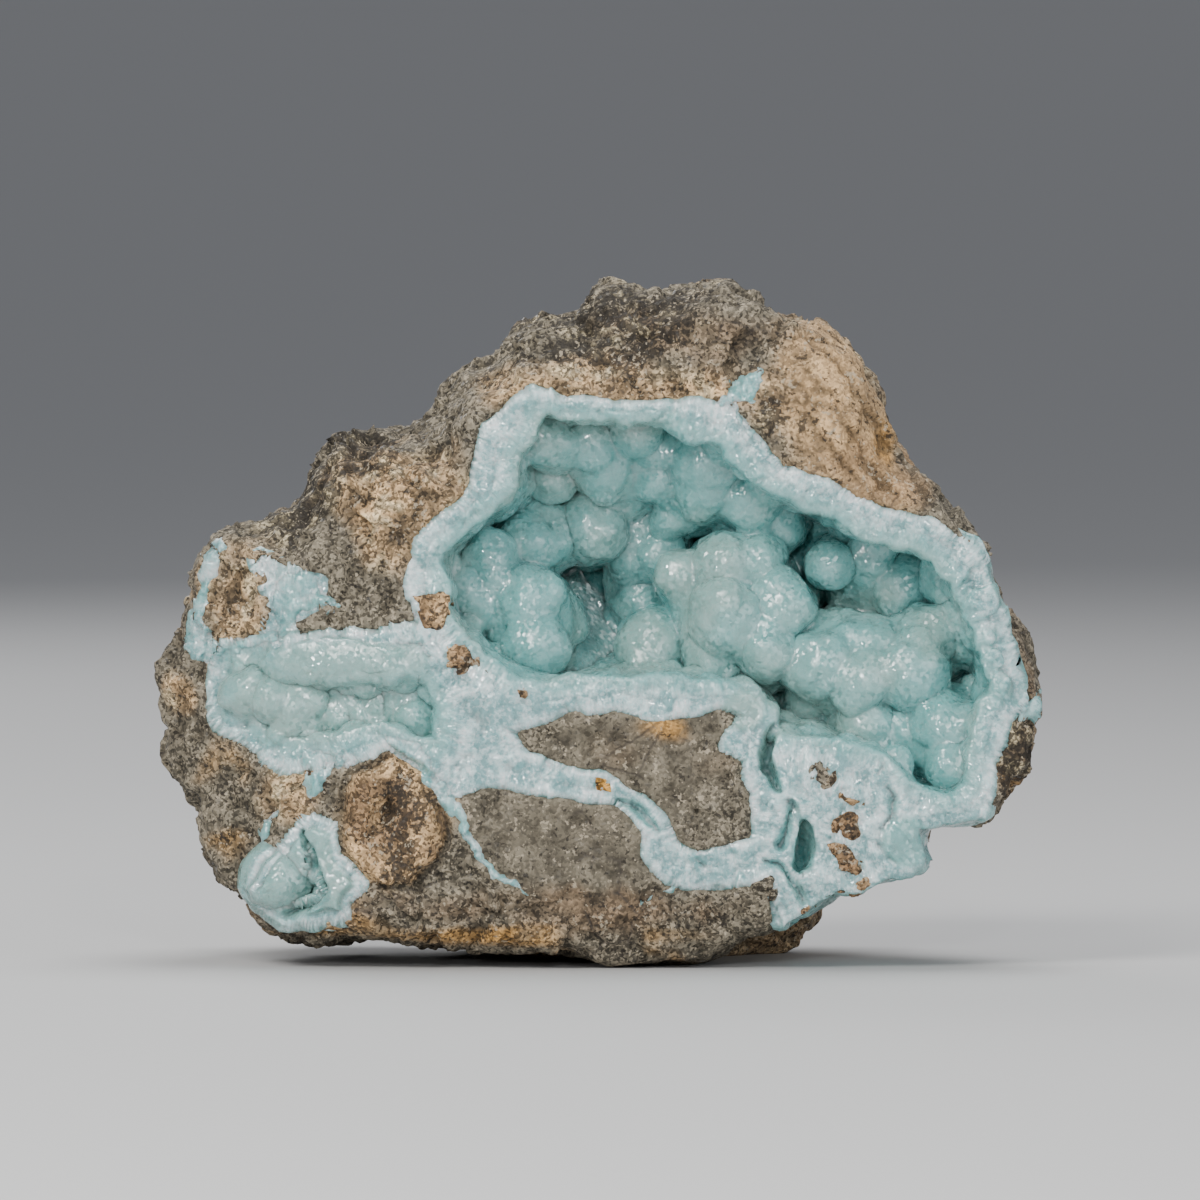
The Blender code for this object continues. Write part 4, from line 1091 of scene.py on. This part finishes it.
def dress_crust(obj, rims, seams, band_width=FAR):
    """Gives a crust piece its nodules, its broken edge and the masks that its material reads."""
    points = drawn_places(obj.data)
    facing, band, edge, along = crust_masks(points, vertex_normals(obj.data), rims, seams, band_width)
    touching = touching_rock(obj)
    deep = touching * away_from_front(points)
    swell = 0.36 + 0.5 * touching * (1 - facing)
    height = (crust_heights(points, facing, band, along, edge) + swell * (1 - band)) * (1 - deep) - 0.3 * deep
    raise_surface(obj, height)
    sink_past_seam(obj, -1.0, 1.0)
    moves = wander(points, sizes().seam_wander / MM)
    place_vertices(obj.data, keep_in_box(vertex_places(obj.data) + moves * MM))
    thin_mesh(obj, sizes().most_triangles)
    points = drawn_places(obj.data)
    facing, band, edge, along = crust_masks(points, vertex_normals(obj.data), rims, seams, band_width)
    mesh = obj.data
    store(mesh, "band", band)
    store(mesh, "along", along)
    store(mesh, "across", edge)
    rim = nearest_edge(points, rims)
    store(mesh, "lip", 1 - ease(0.2, 2.4, rim + 0.5 * soft_noise(points, 2.0, 179)))
    # How far back in the hollow, for the material's painted shade there
    store(mesh, "depth", ease(3.0, 30.0, points[:, 1] - FRONT_Y))
    store(mesh, "age", np.maximum(grown_age(points), 0.8 * ease(18.0, 30.0, -points[:, 0])))
    # Hollows and slits, where the material paints shade
    crease = ease(0.0, 0.8, hollowness(mesh, 28))
    store(mesh, "crease", np.maximum(crease, ease(0.2, 2.5, slit_depths(points)) * facing))


class SPECIMEN_OT_crust(Operator):
    """Make the main crust, with its lumps, its nodules and its fibrous broken edge"""

    bl_idname = "specimen.crust"
    bl_label = "Main crust"

    def execute(self, context):
        bm = merged_copy("main_crust")
        guide = new_piece(bm.copy(), "guide")
        remesh(guide, 1.0)
        points, normals = drawn_places(guide.data), vertex_normals(guide.data)
        balls = wall_lumps(points, normals, MAIN_RIMS, WALL_LUMP_COUNT, WALL_LUMP_RADII, seed=5)
        bpy.data.objects.remove(guide)
        for seed, rim in enumerate(MAIN_RIMS, 17):
            balls += rim_lumps(rim, RIM_LUMP_SPACING, RIM_LUMP_RADII, seed)
        from_x, to_x, height, radius, spacing = CEILING_LOBE
        for x in np.arange(from_x, to_x, spacing):
            front = front_depth(np.array([(x, 0.0, height)]))[0] - 0.3
            balls.append((np.array((x, front + radius, height)), radius))
        small = scattered_lumps(
            LEFT_RIM, SMALL_LUMPS_UP_TO, SMALL_LUMP_COUNT, SMALL_LUMP_RADII, SMALL_LUMP_DEPTHS, seed=29
        )
        add_lumps(bm, MAIN_LUMPS + BOSS_CORES + small)
        add_balls(bm, balls)
        obj = new_piece(bm, "crust")
        remesh(obj, sizes().crust_detail / MM)
        soften(obj, 3)
        soften(obj, sizes().crust_fusing, inside_hollow(drawn_places(obj.data), MAIN_RIMS))
        fit_outline(obj)
        hidden = touching_rock(obj)
        thin_mesh(obj, sizes().most_triangles, hidden * away_from_front(drawn_places(obj.data)))
        dress_crust(obj, MAIN_RIMS, MAIN_SEAMS)
        finish_piece(obj, "main_crust", crust_material())
        return {"FINISHED"}


class SPECIMEN_OT_pocket(Operator):
    """Make the small crust in the lower left pocket"""

    bl_idname = "specimen.pocket"
    bl_label = "Pocket crust"

    def execute(self, context):
        bm = merged_copy("pocket_crust")
        add_lumps(bm, POCKET_LUMPS)
        obj = new_piece(bm, "pocket")
        remesh(obj, sizes().pocket_detail / MM)
        soften(obj, 3)
        fit_outline(obj)
        dress_crust(obj, [POCKET_RIM], [POCKET_SEAM], band_width=1.3)
        finish_piece(obj, "pocket_crust", crust_material())
        return {"FINISHED"}


def front_of(trees, x, z):
    """Depth of the first surface that is met from the front at a place, in drawn millimetres."""
    shift = Vector(FRAME_SHIFT)
    start = (Vector((x, FRONT_Y - 20.0, z)) + shift) * MM
    depths = []
    for tree in trees:
        place, _, _, _ = tree.ray_cast(start, Vector((0.0, 1.0, 0.0)))
        if place is not None:
            depths.append(place.y / MM - shift.y)
    return min(depths) if depths else None


def trees_of(names):
    graph = bpy.context.evaluated_depsgraph_get()
    return [BVHTree.FromObject(bpy.data.objects[name], graph) for name in names]


def patch_piece(name, shapes, step, rise, sink, thickness, limit=FAR):
    """A thin closed sheet on the rock and crust, wherever a place is inside the shapes, with sunken edges.

    Its grid has the step, in millimetres. It rises in the middle and sinks at its edges, and the limit is how
    deep behind the front face the ground under it may lie.
    """
    ground = trees_of(["rock", "crust", "pocket"])
    bm = bmesh.new()
    shift = Vector(FRAME_SHIFT)
    for shape in shapes:
        places = drawn(shape)
        low, high = np.array(places)[:, :2].min(axis=0) - 2.0, np.array(places)[:, :2].max(axis=0) + 2.0
        xs, zs = (np.arange(low[axis], high[axis], step) for axis in (0, 1))
        grid = np.array([(x, FRONT_Y, z) for x in xs for z in zs])
        bent = bend(grid, 0.7, 2.2, (141, 147, 153), 3)
        if len(places[0]) == 3:
            inside = line_depth(bent, places)
        else:
            inside = -outline_distance(bent, rounded(places))[0]
        domed = rise * ease(0.0, 1.0, inside) - sink * (1 - ease(-0.2, 0.35, inside))
        rows = len(zs)
        front = {}
        for index in np.nonzero(inside > -0.35)[0]:
            depth = front_of(ground, grid[index, 0], grid[index, 2])
            if depth is not None and depth < FRONT_Y + limit:
                place = Vector((grid[index, 0], depth - domed[index], grid[index, 2]))
                front[index] = (bm.verts.new((place + shift) * MM),
                                bm.verts.new((place + shift + Vector((0.0, thickness, 0.0))) * MM))
        edges = {}
        for index in front:
            corners = (index, index + rows, index + rows + 1, index + 1)
            if (index + 1) % rows == 0 or any(corner not in front for corner in corners):
                continue
            depths = [front[corner][0].co.y for corner in corners]
            if max(depths) - min(depths) > STEEPEST * step * MM:
                continue
            bm.faces.new([front[corner][0] for corner in corners])
            bm.faces.new([front[corner][1] for corner in reversed(corners)])
            for start, end in zip(corners, corners[1:] + corners[:1]):
                if (end, start) in edges:
                    del edges[(end, start)]
                else:
                    edges[(start, end)] = True
        for start, end in edges:
            bm.faces.new([front[end][0], front[start][0], front[start][1], front[end][1]])
    loose = [vert for vert in bm.verts if not vert.link_faces]
    bmesh.ops.delete(bm, geom=loose, context="VERTS")
    bmesh.ops.recalc_face_normals(bm, faces=bm.faces)
    return new_piece(bm, name)


class SPECIMEN_OT_flecks(Operator):
    """Make the small pieces of rock held in the crust's broken face"""

    bl_idname = "specimen.flecks"
    bl_label = "Rock flecks"

    def execute(self, context):
        obj = patch_piece("rock_flecks", ROCK_FLECKS, step=0.2, rise=0.35, sink=0.3, thickness=0.8, limit=8.0)
        points = drawn_places(obj.data)
        height = rock_heights(points, np.ones(len(points)), np.ones(len(points))) - rock_features(points)
        raise_surface(obj, 0.5 * height)
        mottle = rough_noise(points, 3.0, 151, 2)
        tones = colours()
        none = np.zeros(len(points))
        store_colour(obj.data, "tone", layered(even_tone(points, tones.rock_tan), [
            (tones.rock_brown, 0.25 + 0.6 * ease(-0.5, 0.6, mottle)),
            (tones.rock_brown, zone_mask(points, DARK_FLECKS, none) * 0.8),
            (tones.rock_dark, ease(0.1, 0.7, rough_noise(points, 1.3, 183, 2)) * 0.7),
            (tones.rock_grey, zone_mask(points, GREY_FLECKS, none)),
            (tones.rock_ochre, zone_mask(points, OCHRE_FLECKS, none)),
        ]))
        store(obj.data, "smooth", none)
        store(obj.data, "dark", np.full(len(points), 0.35))
        finish_piece(obj, None, rock_material())
        return {"FINISHED"}


class SPECIMEN_OT_veins(Operator):
    """Make the crust's strips and patches that lie on the rock"""

    bl_idname = "specimen.veins"
    bl_label = "Crust veins"

    def execute(self, context):
        shapes = CRUST_AREAS + CRUST_LINES
        obj = patch_piece("crust_veins", shapes, step=0.2, rise=0.3, sink=0.3, thickness=0.8)
        points = drawn_places(obj.data)
        along = outline_distance(points, MAIN_SEAM)[1]
        height = 0.25 * soft_noise(points, 1.3, 157) + 0.12 * soft_noise(points, 0.6, 163)
        raise_surface(obj, height)
        masks = {
            "band": np.ones(len(points)),
            "along": along,
            "across": points[:, 2],
            "lip": 0.25 + 0.75 * ease(-0.3, 0.6, rough_noise(points, 2.4, 181, 2)),
            "depth": np.zeros(len(points)),
            "age": grown_age(points),
            "crease": np.zeros(len(points)),
        }
        for name, values in masks.items():
            store(obj.data, name, values)
        finish_piece(obj, None, crust_material())
        return {"FINISHED"}


def node(tree, kind, values=None, **settings):
    """Adds a node with its settings, and gives its sockets values or links."""
    made = tree.nodes.new(kind)
    for name, value in settings.items():
        setattr(made, name, value)
    for name, value in (values or {}).items():
        if isinstance(value, bpy.types.NodeSocket):
            tree.links.new(value, made.inputs[name])
        else:
            made.inputs[name].default_value = value
    return made


def maths(tree, operation, first, second=0.0, clamp=False):
    values = {0: first, 1: second}
    return node(tree, "ShaderNodeMath", values, operation=operation, use_clamp=clamp).outputs[0]


def times(tree, first, second):
    return maths(tree, "MULTIPLY", first, second)


def vector_maths(tree, operation, first, second=None):
    """One step of vector maths. Its second value is a number where the step scales."""
    values = {0: first}
    if second is not None:
        values["Scale" if operation == "SCALE" else 1] = second
    return node(tree, "ShaderNodeVectorMath", values, operation=operation).outputs[0]


def ranged(tree, value, low, high, new_low=0.0, new_high=1.0):
    """The value spread softly from the first range to the new one."""
    values = {"Value": value, "From Min": low, "From Max": high, "To Min": new_low, "To Max": new_high}
    return node(tree, "ShaderNodeMapRange", values, interpolation_type="SMOOTHSTEP").outputs[0]


def mixed(tree, factor, first, second, blend="MIX"):
    values = {0: factor, 6: first, 7: second}
    return node(tree, "ShaderNodeMix", values, data_type="RGBA", blend_type=blend).outputs[2]


def overlaid(tree, base, layers):
    """A colour with further ones laid over it, each by its mask at its strength."""
    for value, mask, strength in layers:
        base = mixed(tree, times(tree, mask, strength), base, opaque(value))
    return base


def noise(tree, vector, size, detail=2.0, roughness=0.55):
    values = {"Vector": vector, "Scale": 1 / size, "Detail": detail, "Roughness": roughness}
    return node(tree, "ShaderNodeTexNoise", values).outputs[0]


def value_of(tree, name):
    return node(tree, "ShaderNodeAttribute", attribute_name=name).outputs["Fac"]


def opaque(value):
    return (*value, 1.0)


def new_group(name, inputs, outputs):
    """A node group with the sockets, and the ends that its nodes are linked to."""
    group = bpy.data.node_groups.new(name, "ShaderNodeTree")
    for socket, kind in inputs:
        group.interface.new_socket(socket, in_out="INPUT", socket_type=kind)
    for socket, kind in outputs:
        group.interface.new_socket(socket, in_out="OUTPUT", socket_type=kind)
    return group, group.nodes.new("NodeGroupInput").outputs, group.nodes.new("NodeGroupOutput").inputs


def facets_group():
    """Small flat facets that each tilt the surface a little, as grown crystals do, so that some glint."""
    known = bpy.data.node_groups.get("Facets")
    if known:
        return known
    inputs = [("Vector", "NodeSocketVector"), ("Scale", "NodeSocketFloat"), ("Tilt", "NodeSocketFloat")]
    outputs = [("Normal", "NodeSocketVector"), ("Name", "NodeSocketFloat")]
    group, given, result = new_group("Facets", inputs, outputs)
    cells = node(group, "ShaderNodeTexVoronoi", {"Vector": given["Vector"], "Scale": given["Scale"]})
    centred = vector_maths(group, "SUBTRACT", cells.outputs["Color"], (0.5, 0.5, 0.5))
    tilted = vector_maths(group, "SCALE", centred, given["Tilt"])
    flat = node(group, "ShaderNodeNewGeometry").outputs["Normal"]
    turned = vector_maths(group, "ADD", flat, tilted)
    split = node(group, "ShaderNodeSeparateColor", {0: cells.outputs["Color"]})
    group.links.new(vector_maths(group, "NORMALIZE", turned), result["Normal"])
    group.links.new(split.outputs[0], result["Name"])
    return group


def specks_group():
    """Scattered specks: a mask of small grains that are thick in some places and rare in others."""
    known = bpy.data.node_groups.get("Specks")
    if known:
        return known
    inputs = [("Vector", "NodeSocketVector"), ("Scale", "NodeSocketFloat"), ("Share", "NodeSocketFloat")]
    group, given, result = new_group("Specks", inputs, [("Mask", "NodeSocketFloat")])
    values = {"Vector": given["Vector"], "Scale": given["Scale"], "Detail": 2.0, "Roughness": 0.6}
    fine = node(group, "ShaderNodeTexNoise", values).outputs[0]
    values = {"Vector": given["Vector"], "Scale": times(group, given["Scale"], 0.22), "Detail": 1.0}
    broad = node(group, "ShaderNodeTexNoise", values).outputs[0]
    both = maths(group, "ADD", times(group, fine, 0.72), times(group, broad, 0.28))
    low = maths(group, "SUBTRACT", 0.66, times(group, given["Share"], 0.25))
    high = maths(group, "ADD", low, 0.045)
    mask = node(group, "ShaderNodeMapRange", {"Value": both, "From Min": low, "From Max": high}).outputs[0]
    group.links.new(mask, result["Mask"])
    return group


def grouped(tree, group, values):
    return node(tree, "ShaderNodeGroup", values, node_tree=group).outputs


def specks(tree, place, scale, share):
    return grouped(tree, specks_group(), {"Vector": place, "Scale": scale, "Share": share})["Mask"]


def set_values(sockets, values):
    """Sets what is the same all over a surface or the room."""
    for name, value in values.items():
        sockets[name].default_value = value


def new_material(name):
    material = bpy.data.materials.new(name)
    material.use_nodes = True
    return material, material.node_tree, material.node_tree.nodes["Principled BSDF"].inputs


def rock_material():
    """Dull granular rock: its broad tone, salt and pepper grains, dark specks and fine dry cracks."""
    known = bpy.data.materials.get("Volcanic rock")
    if known:
        return known
    material, tree, shader = new_material("Volcanic rock")
    place = node(tree, "ShaderNodeTexCoord").outputs["Object"]
    tone = node(tree, "ShaderNodeAttribute", attribute_name="tone").outputs["Color"]
    smooth = value_of(tree, "smooth")
    dark = value_of(tree, "dark")
    values = {"Vector": place, "Scale": 900.0, "Detail": 1.0}
    bent_by = node(tree, "ShaderNodeTexNoise", values).outputs["Color"]
    bent = vector_maths(tree, "ADD", place, vector_maths(tree, "SCALE", bent_by, 0.0006))
    grains = node(tree, "ShaderNodeTexVoronoi", {"Vector": bent, "Scale": 2700.0})
    name = node(tree, "ShaderNodeSeparateColor", {0: grains.outputs["Color"]}).outputs[0]
    spread = maths(tree, "SUBTRACT", 1.0, times(tree, smooth, 0.55))
    shade = ranged(tree, name, 0.0, 1.0, -0.65, 0.8)
    shade = maths(tree, "ADD", times(tree, shade, spread), 1.0)
    broad = ranged(tree, noise(tree, place, 0.0035, 3.0), 0.3, 0.7, 0.72, 1.3)
    shade = times(tree, shade, broad)
    grey = node(tree, "ShaderNodeCombineColor", {0: shade, 1: shade, 2: shade}).outputs[0]
    base = mixed(tree, 1.0, tone, grey, "MULTIPLY")
    # Black specks, thicker in the dark zones, which include painted shade over the upper left pits
    black = specks(tree, place, 1150.0, maths(tree, "ADD", times(tree, dark, 0.55), 0.33))
    light = specks(tree, vector_maths(tree, "ADD", place, (0.31, 0.17, 0.43)), 1500.0, 0.28)
    values = {"Vector": bent, "Scale": 130.0}
    cracks = node(tree, "ShaderNodeTexVoronoi", values, feature="DISTANCE_TO_EDGE").outputs[0]
    crack = ranged(tree, cracks, 0.0, 0.035, 1.0, 0.0)
    crack = times(tree, crack, ranged(tree, noise(tree, place, 0.009), 0.52, 0.62))
    layers = [(BLACK_SPECK, black, 0.82), (PALE_SPECK, light, 0.6), (CRACK_BROWN, crack, 0.6)]
    tree.links.new(overlaid(tree, base, layers), shader["Base Color"])
    facet_values = {"Vector": bent, "Scale": 1700.0, "Tilt": times(tree, spread, 0.5)}
    facets = grouped(tree, facets_group(), facet_values)
    shine = ranged(tree, facets["Name"], 0.86, 0.97)
    tree.links.new(ranged(tree, shine, 0.0, 1.0, 0.85, 0.38), shader["Roughness"])
    height = maths(tree, "ADD", noise(tree, place, 0.00055, 3.0, 0.65), times(tree, grains.outputs[0], -0.4))
    height = maths(tree, "SUBTRACT", height, times(tree, crack, 0.6))
    values = {"Height": height, "Normal": facets["Normal"], "Strength": 0.75, "Distance": 0.00022}
    tree.links.new(node(tree, "ShaderNodeBump", values).outputs[0], shader["Normal"])
    set_values(shader, {"Specular IOR Level": 0.35})
    return material


def crust_material():
    """Translucent aqua crystal: painted shade in deeper teal in its creases and farther into the hollow,
    frosted on its tops, pale and fibrous where broken.
    """
    known = bpy.data.materials.get("Aqua crust")
    if known:
        return known
    material, tree, shader = new_material("Aqua crust")
    tones = colours()
    place = node(tree, "ShaderNodeTexCoord").outputs["Object"]
    band, along, across = (value_of(tree, name) for name in ("band", "along", "across"))
    depth, age, crease, lip = (value_of(tree, name) for name in ("depth", "age", "crease", "lip"))
    cloud = ranged(tree, noise(tree, place, 0.0045, 3.0), 0.35, 0.65)
    # Painted shade: deeper teal in the creases and farther back in the hollow
    hollow_shade = maths(tree, "ADD", times(tree, depth, 0.3), times(tree, crease, 0.6), True)
    frost = specks(tree, place, 1500.0, 0.40)
    lump = overlaid(tree, opaque(tones.crust_aqua), [
        (tones.crust_grey, age, 0.75),
        (tones.crust_pale, cloud, 0.12),
        (tones.crust_shade_teal, hollow_shade, 1.0),
        (tones.crust_pale, frost, 0.14),
    ])
    fibre_place = node(tree, "ShaderNodeCombineXYZ", {0: along, 1: times(tree, across, 0.22)}).outputs[0]
    fibres = ranged(tree, noise(tree, fibre_place, 0.42, 2.0), 0.35, 0.68)
    patches = ranged(tree, noise(tree, place, 0.0028, 4.0, 0.65), 0.40, 0.57)
    # White specks on the broken edge: partly its white crystal grains, partly painted sparkle
    crystals = specks(tree, place, 1900.0, 0.5)
    outer = ranged(tree, across, 0.0, 1.0, 0.5, 0.0)
    broken = overlaid(tree, opaque(tones.crust_pale), [
        (tones.crust_white, fibres, 0.8),
        (tones.crust_blue, patches, 0.9),
        (tones.crust_white, crystals, 0.4),
        (tones.crust_white, outer, 1.0),
        (tones.crust_aqua, lip, 0.8),
        # Painted shade in the creases and slits of the broken edge
        (tones.crust_shade_teal, crease, 0.85),
    ])
    base = mixed(tree, band, lump, broken)
    # Painted shade: near black in the slits and creases of the broken edge
    base = overlaid(tree, base, [(SLIT_SHADE, times(tree, crease, band), 0.6)])
    tree.links.new(base, shader["Base Color"])
    tilt = ranged(tree, noise(tree, place, 0.003, 2.0), 0.40, 0.6, 0.2, 0.8)
    facets = grouped(tree, facets_group(), {"Vector": place, "Scale": 2000.0, "Tilt": tilt})
    rough = ranged(tree, facets["Name"], 0.50, 0.70, 0.34, 0.08)
    rough = maths(tree, "ADD", rough, times(tree, band, 0.06))
    tree.links.new(rough, shader["Roughness"])
    cells = node(tree, "ShaderNodeTexVoronoi", {"Vector": place, "Scale": 1500.0}).outputs["Distance"]
    height = maths(tree, "SUBTRACT", noise(tree, place, 0.0009, 2.0), times(tree, cells, 0.35))
    height = maths(tree, "ADD", height, times(tree, times(tree, fibres, band), 0.7))
    values = {"Height": height, "Normal": facets["Normal"], "Strength": 0.5, "Distance": 0.00012}
    tree.links.new(node(tree, "ShaderNodeBump", values).outputs[0], shader["Normal"])
    set_values(shader, {
        "IOR": 1.6,
        "Specular IOR Level": 0.9,
        "Subsurface Weight": 0.65,
        "Subsurface Radius": (0.55, 1.0, 1.0),
        "Subsurface Scale": 0.0022,
        "Coat Weight": 0.5,
        "Coat Roughness": 0.08,
    })
    return material


def plain_material(name, value, roughness):
    material, _, shader = new_material(name)
    set_values(shader, {"Base Color": opaque(value), "Roughness": roughness})
    return material


def area_light(name, place, aim, width, power, warmth):
    light = bpy.data.lights.new(name, "AREA")
    light.size = width
    light.energy = power
    light.color = warmth
    obj = bpy.data.objects.new(name, light)
    bpy.context.scene.collection.objects.link(obj)
    obj.location = place
    obj.rotation_euler = (Vector(aim) - Vector(place)).to_track_quat("-Z", "Y").to_euler()


class SPECIMEN_OT_stage(Operator):
    """Make the pale floor, the soft lights and the camera"""

    bl_idname = "specimen.stage"
    bl_label = "Studio"

    def execute(self, context):
        self.make_floor()
        aim = (Vector((0.0, FRONT_Y, (UNDERSIDE_PIXEL - MIDDLE_PIXEL) / PIXELS)) + Vector(FRAME_SHIFT)) * MM
        for name, place, width, power, warmth in LIGHTS:
            area_light(name, place, aim, width, power, warmth)
        world = bpy.data.worlds.new("Studio")
        world.use_nodes = True
        background = world.node_tree.nodes["Background"].inputs
        set_values(background, {"Color": opaque(ROOM_LIGHT), "Strength": ROOM_STRENGTH})
        context.scene.world = world
        camera = bpy.data.cameras.new("camera")
        camera.sensor_width = SENSOR_WIDTH
        camera.lens = camera.sensor_width * CAMERA_DISTANCE / VIEW_WIDTH
        obj = bpy.data.objects.new("camera", camera)
        context.scene.collection.objects.link(obj)
        back = Vector((0.0, -math.cos(CAMERA_ELEVATION), math.sin(CAMERA_ELEVATION)))
        obj.location = aim + back * CAMERA_DISTANCE
        obj.rotation_euler = (-back).to_track_quat("-Z", "Y").to_euler()
        context.scene.camera = obj
        return {"FINISHED"}

    def make_floor(self):
        bm = bmesh.new()
        bmesh.ops.create_grid(bm, x_segments=1, y_segments=1, size=FLOOR_HALF_WIDTH)
        floor = new_piece(bm, "floor")
        floor.data.materials.append(plain_material("Pale floor", FLOOR_GREY, 0.7))


class SPECIMEN_PT_panel(Panel):
    """Lists the specimen's pieces and settings."""

    bl_label = "Specimen"
    bl_idname = "SPECIMEN_PT_panel"
    bl_space_type = "VIEW_3D"
    bl_region_type = "UI"
    bl_category = "Specimen"

    def draw(self, context):
        settings = context.scene.specimen
        for group in (settings.sizes, settings.colours):
            for name in group.__annotations__:
                self.layout.prop(group, name)
        for operator in OPERATORS:
            self.layout.operator(operator.bl_idname)


OPERATORS = (SPECIMEN_OT_rock, SPECIMEN_OT_crust, SPECIMEN_OT_pocket, SPECIMEN_OT_flecks, SPECIMEN_OT_veins,
             SPECIMEN_OT_stage)
CLASSES = (SpecimenSizes, SpecimenColours, SpecimenSettings) + OPERATORS + (SPECIMEN_PT_panel,)


def register():
    for made in CLASSES:
        bpy.utils.register_class(made)
    bpy.types.Scene.specimen = PointerProperty(type=SpecimenSettings)


def unregister():
    del bpy.types.Scene.specimen
    for made in reversed(CLASSES):
        bpy.utils.unregister_class(made)


def main():
    register()
    bpy.ops.specimen.rock()
    bpy.ops.specimen.crust()
    bpy.ops.specimen.pocket()
    bpy.ops.specimen.flecks()
    bpy.ops.specimen.veins()
    bpy.ops.specimen.stage()


if __name__ == "__main__":
    main()
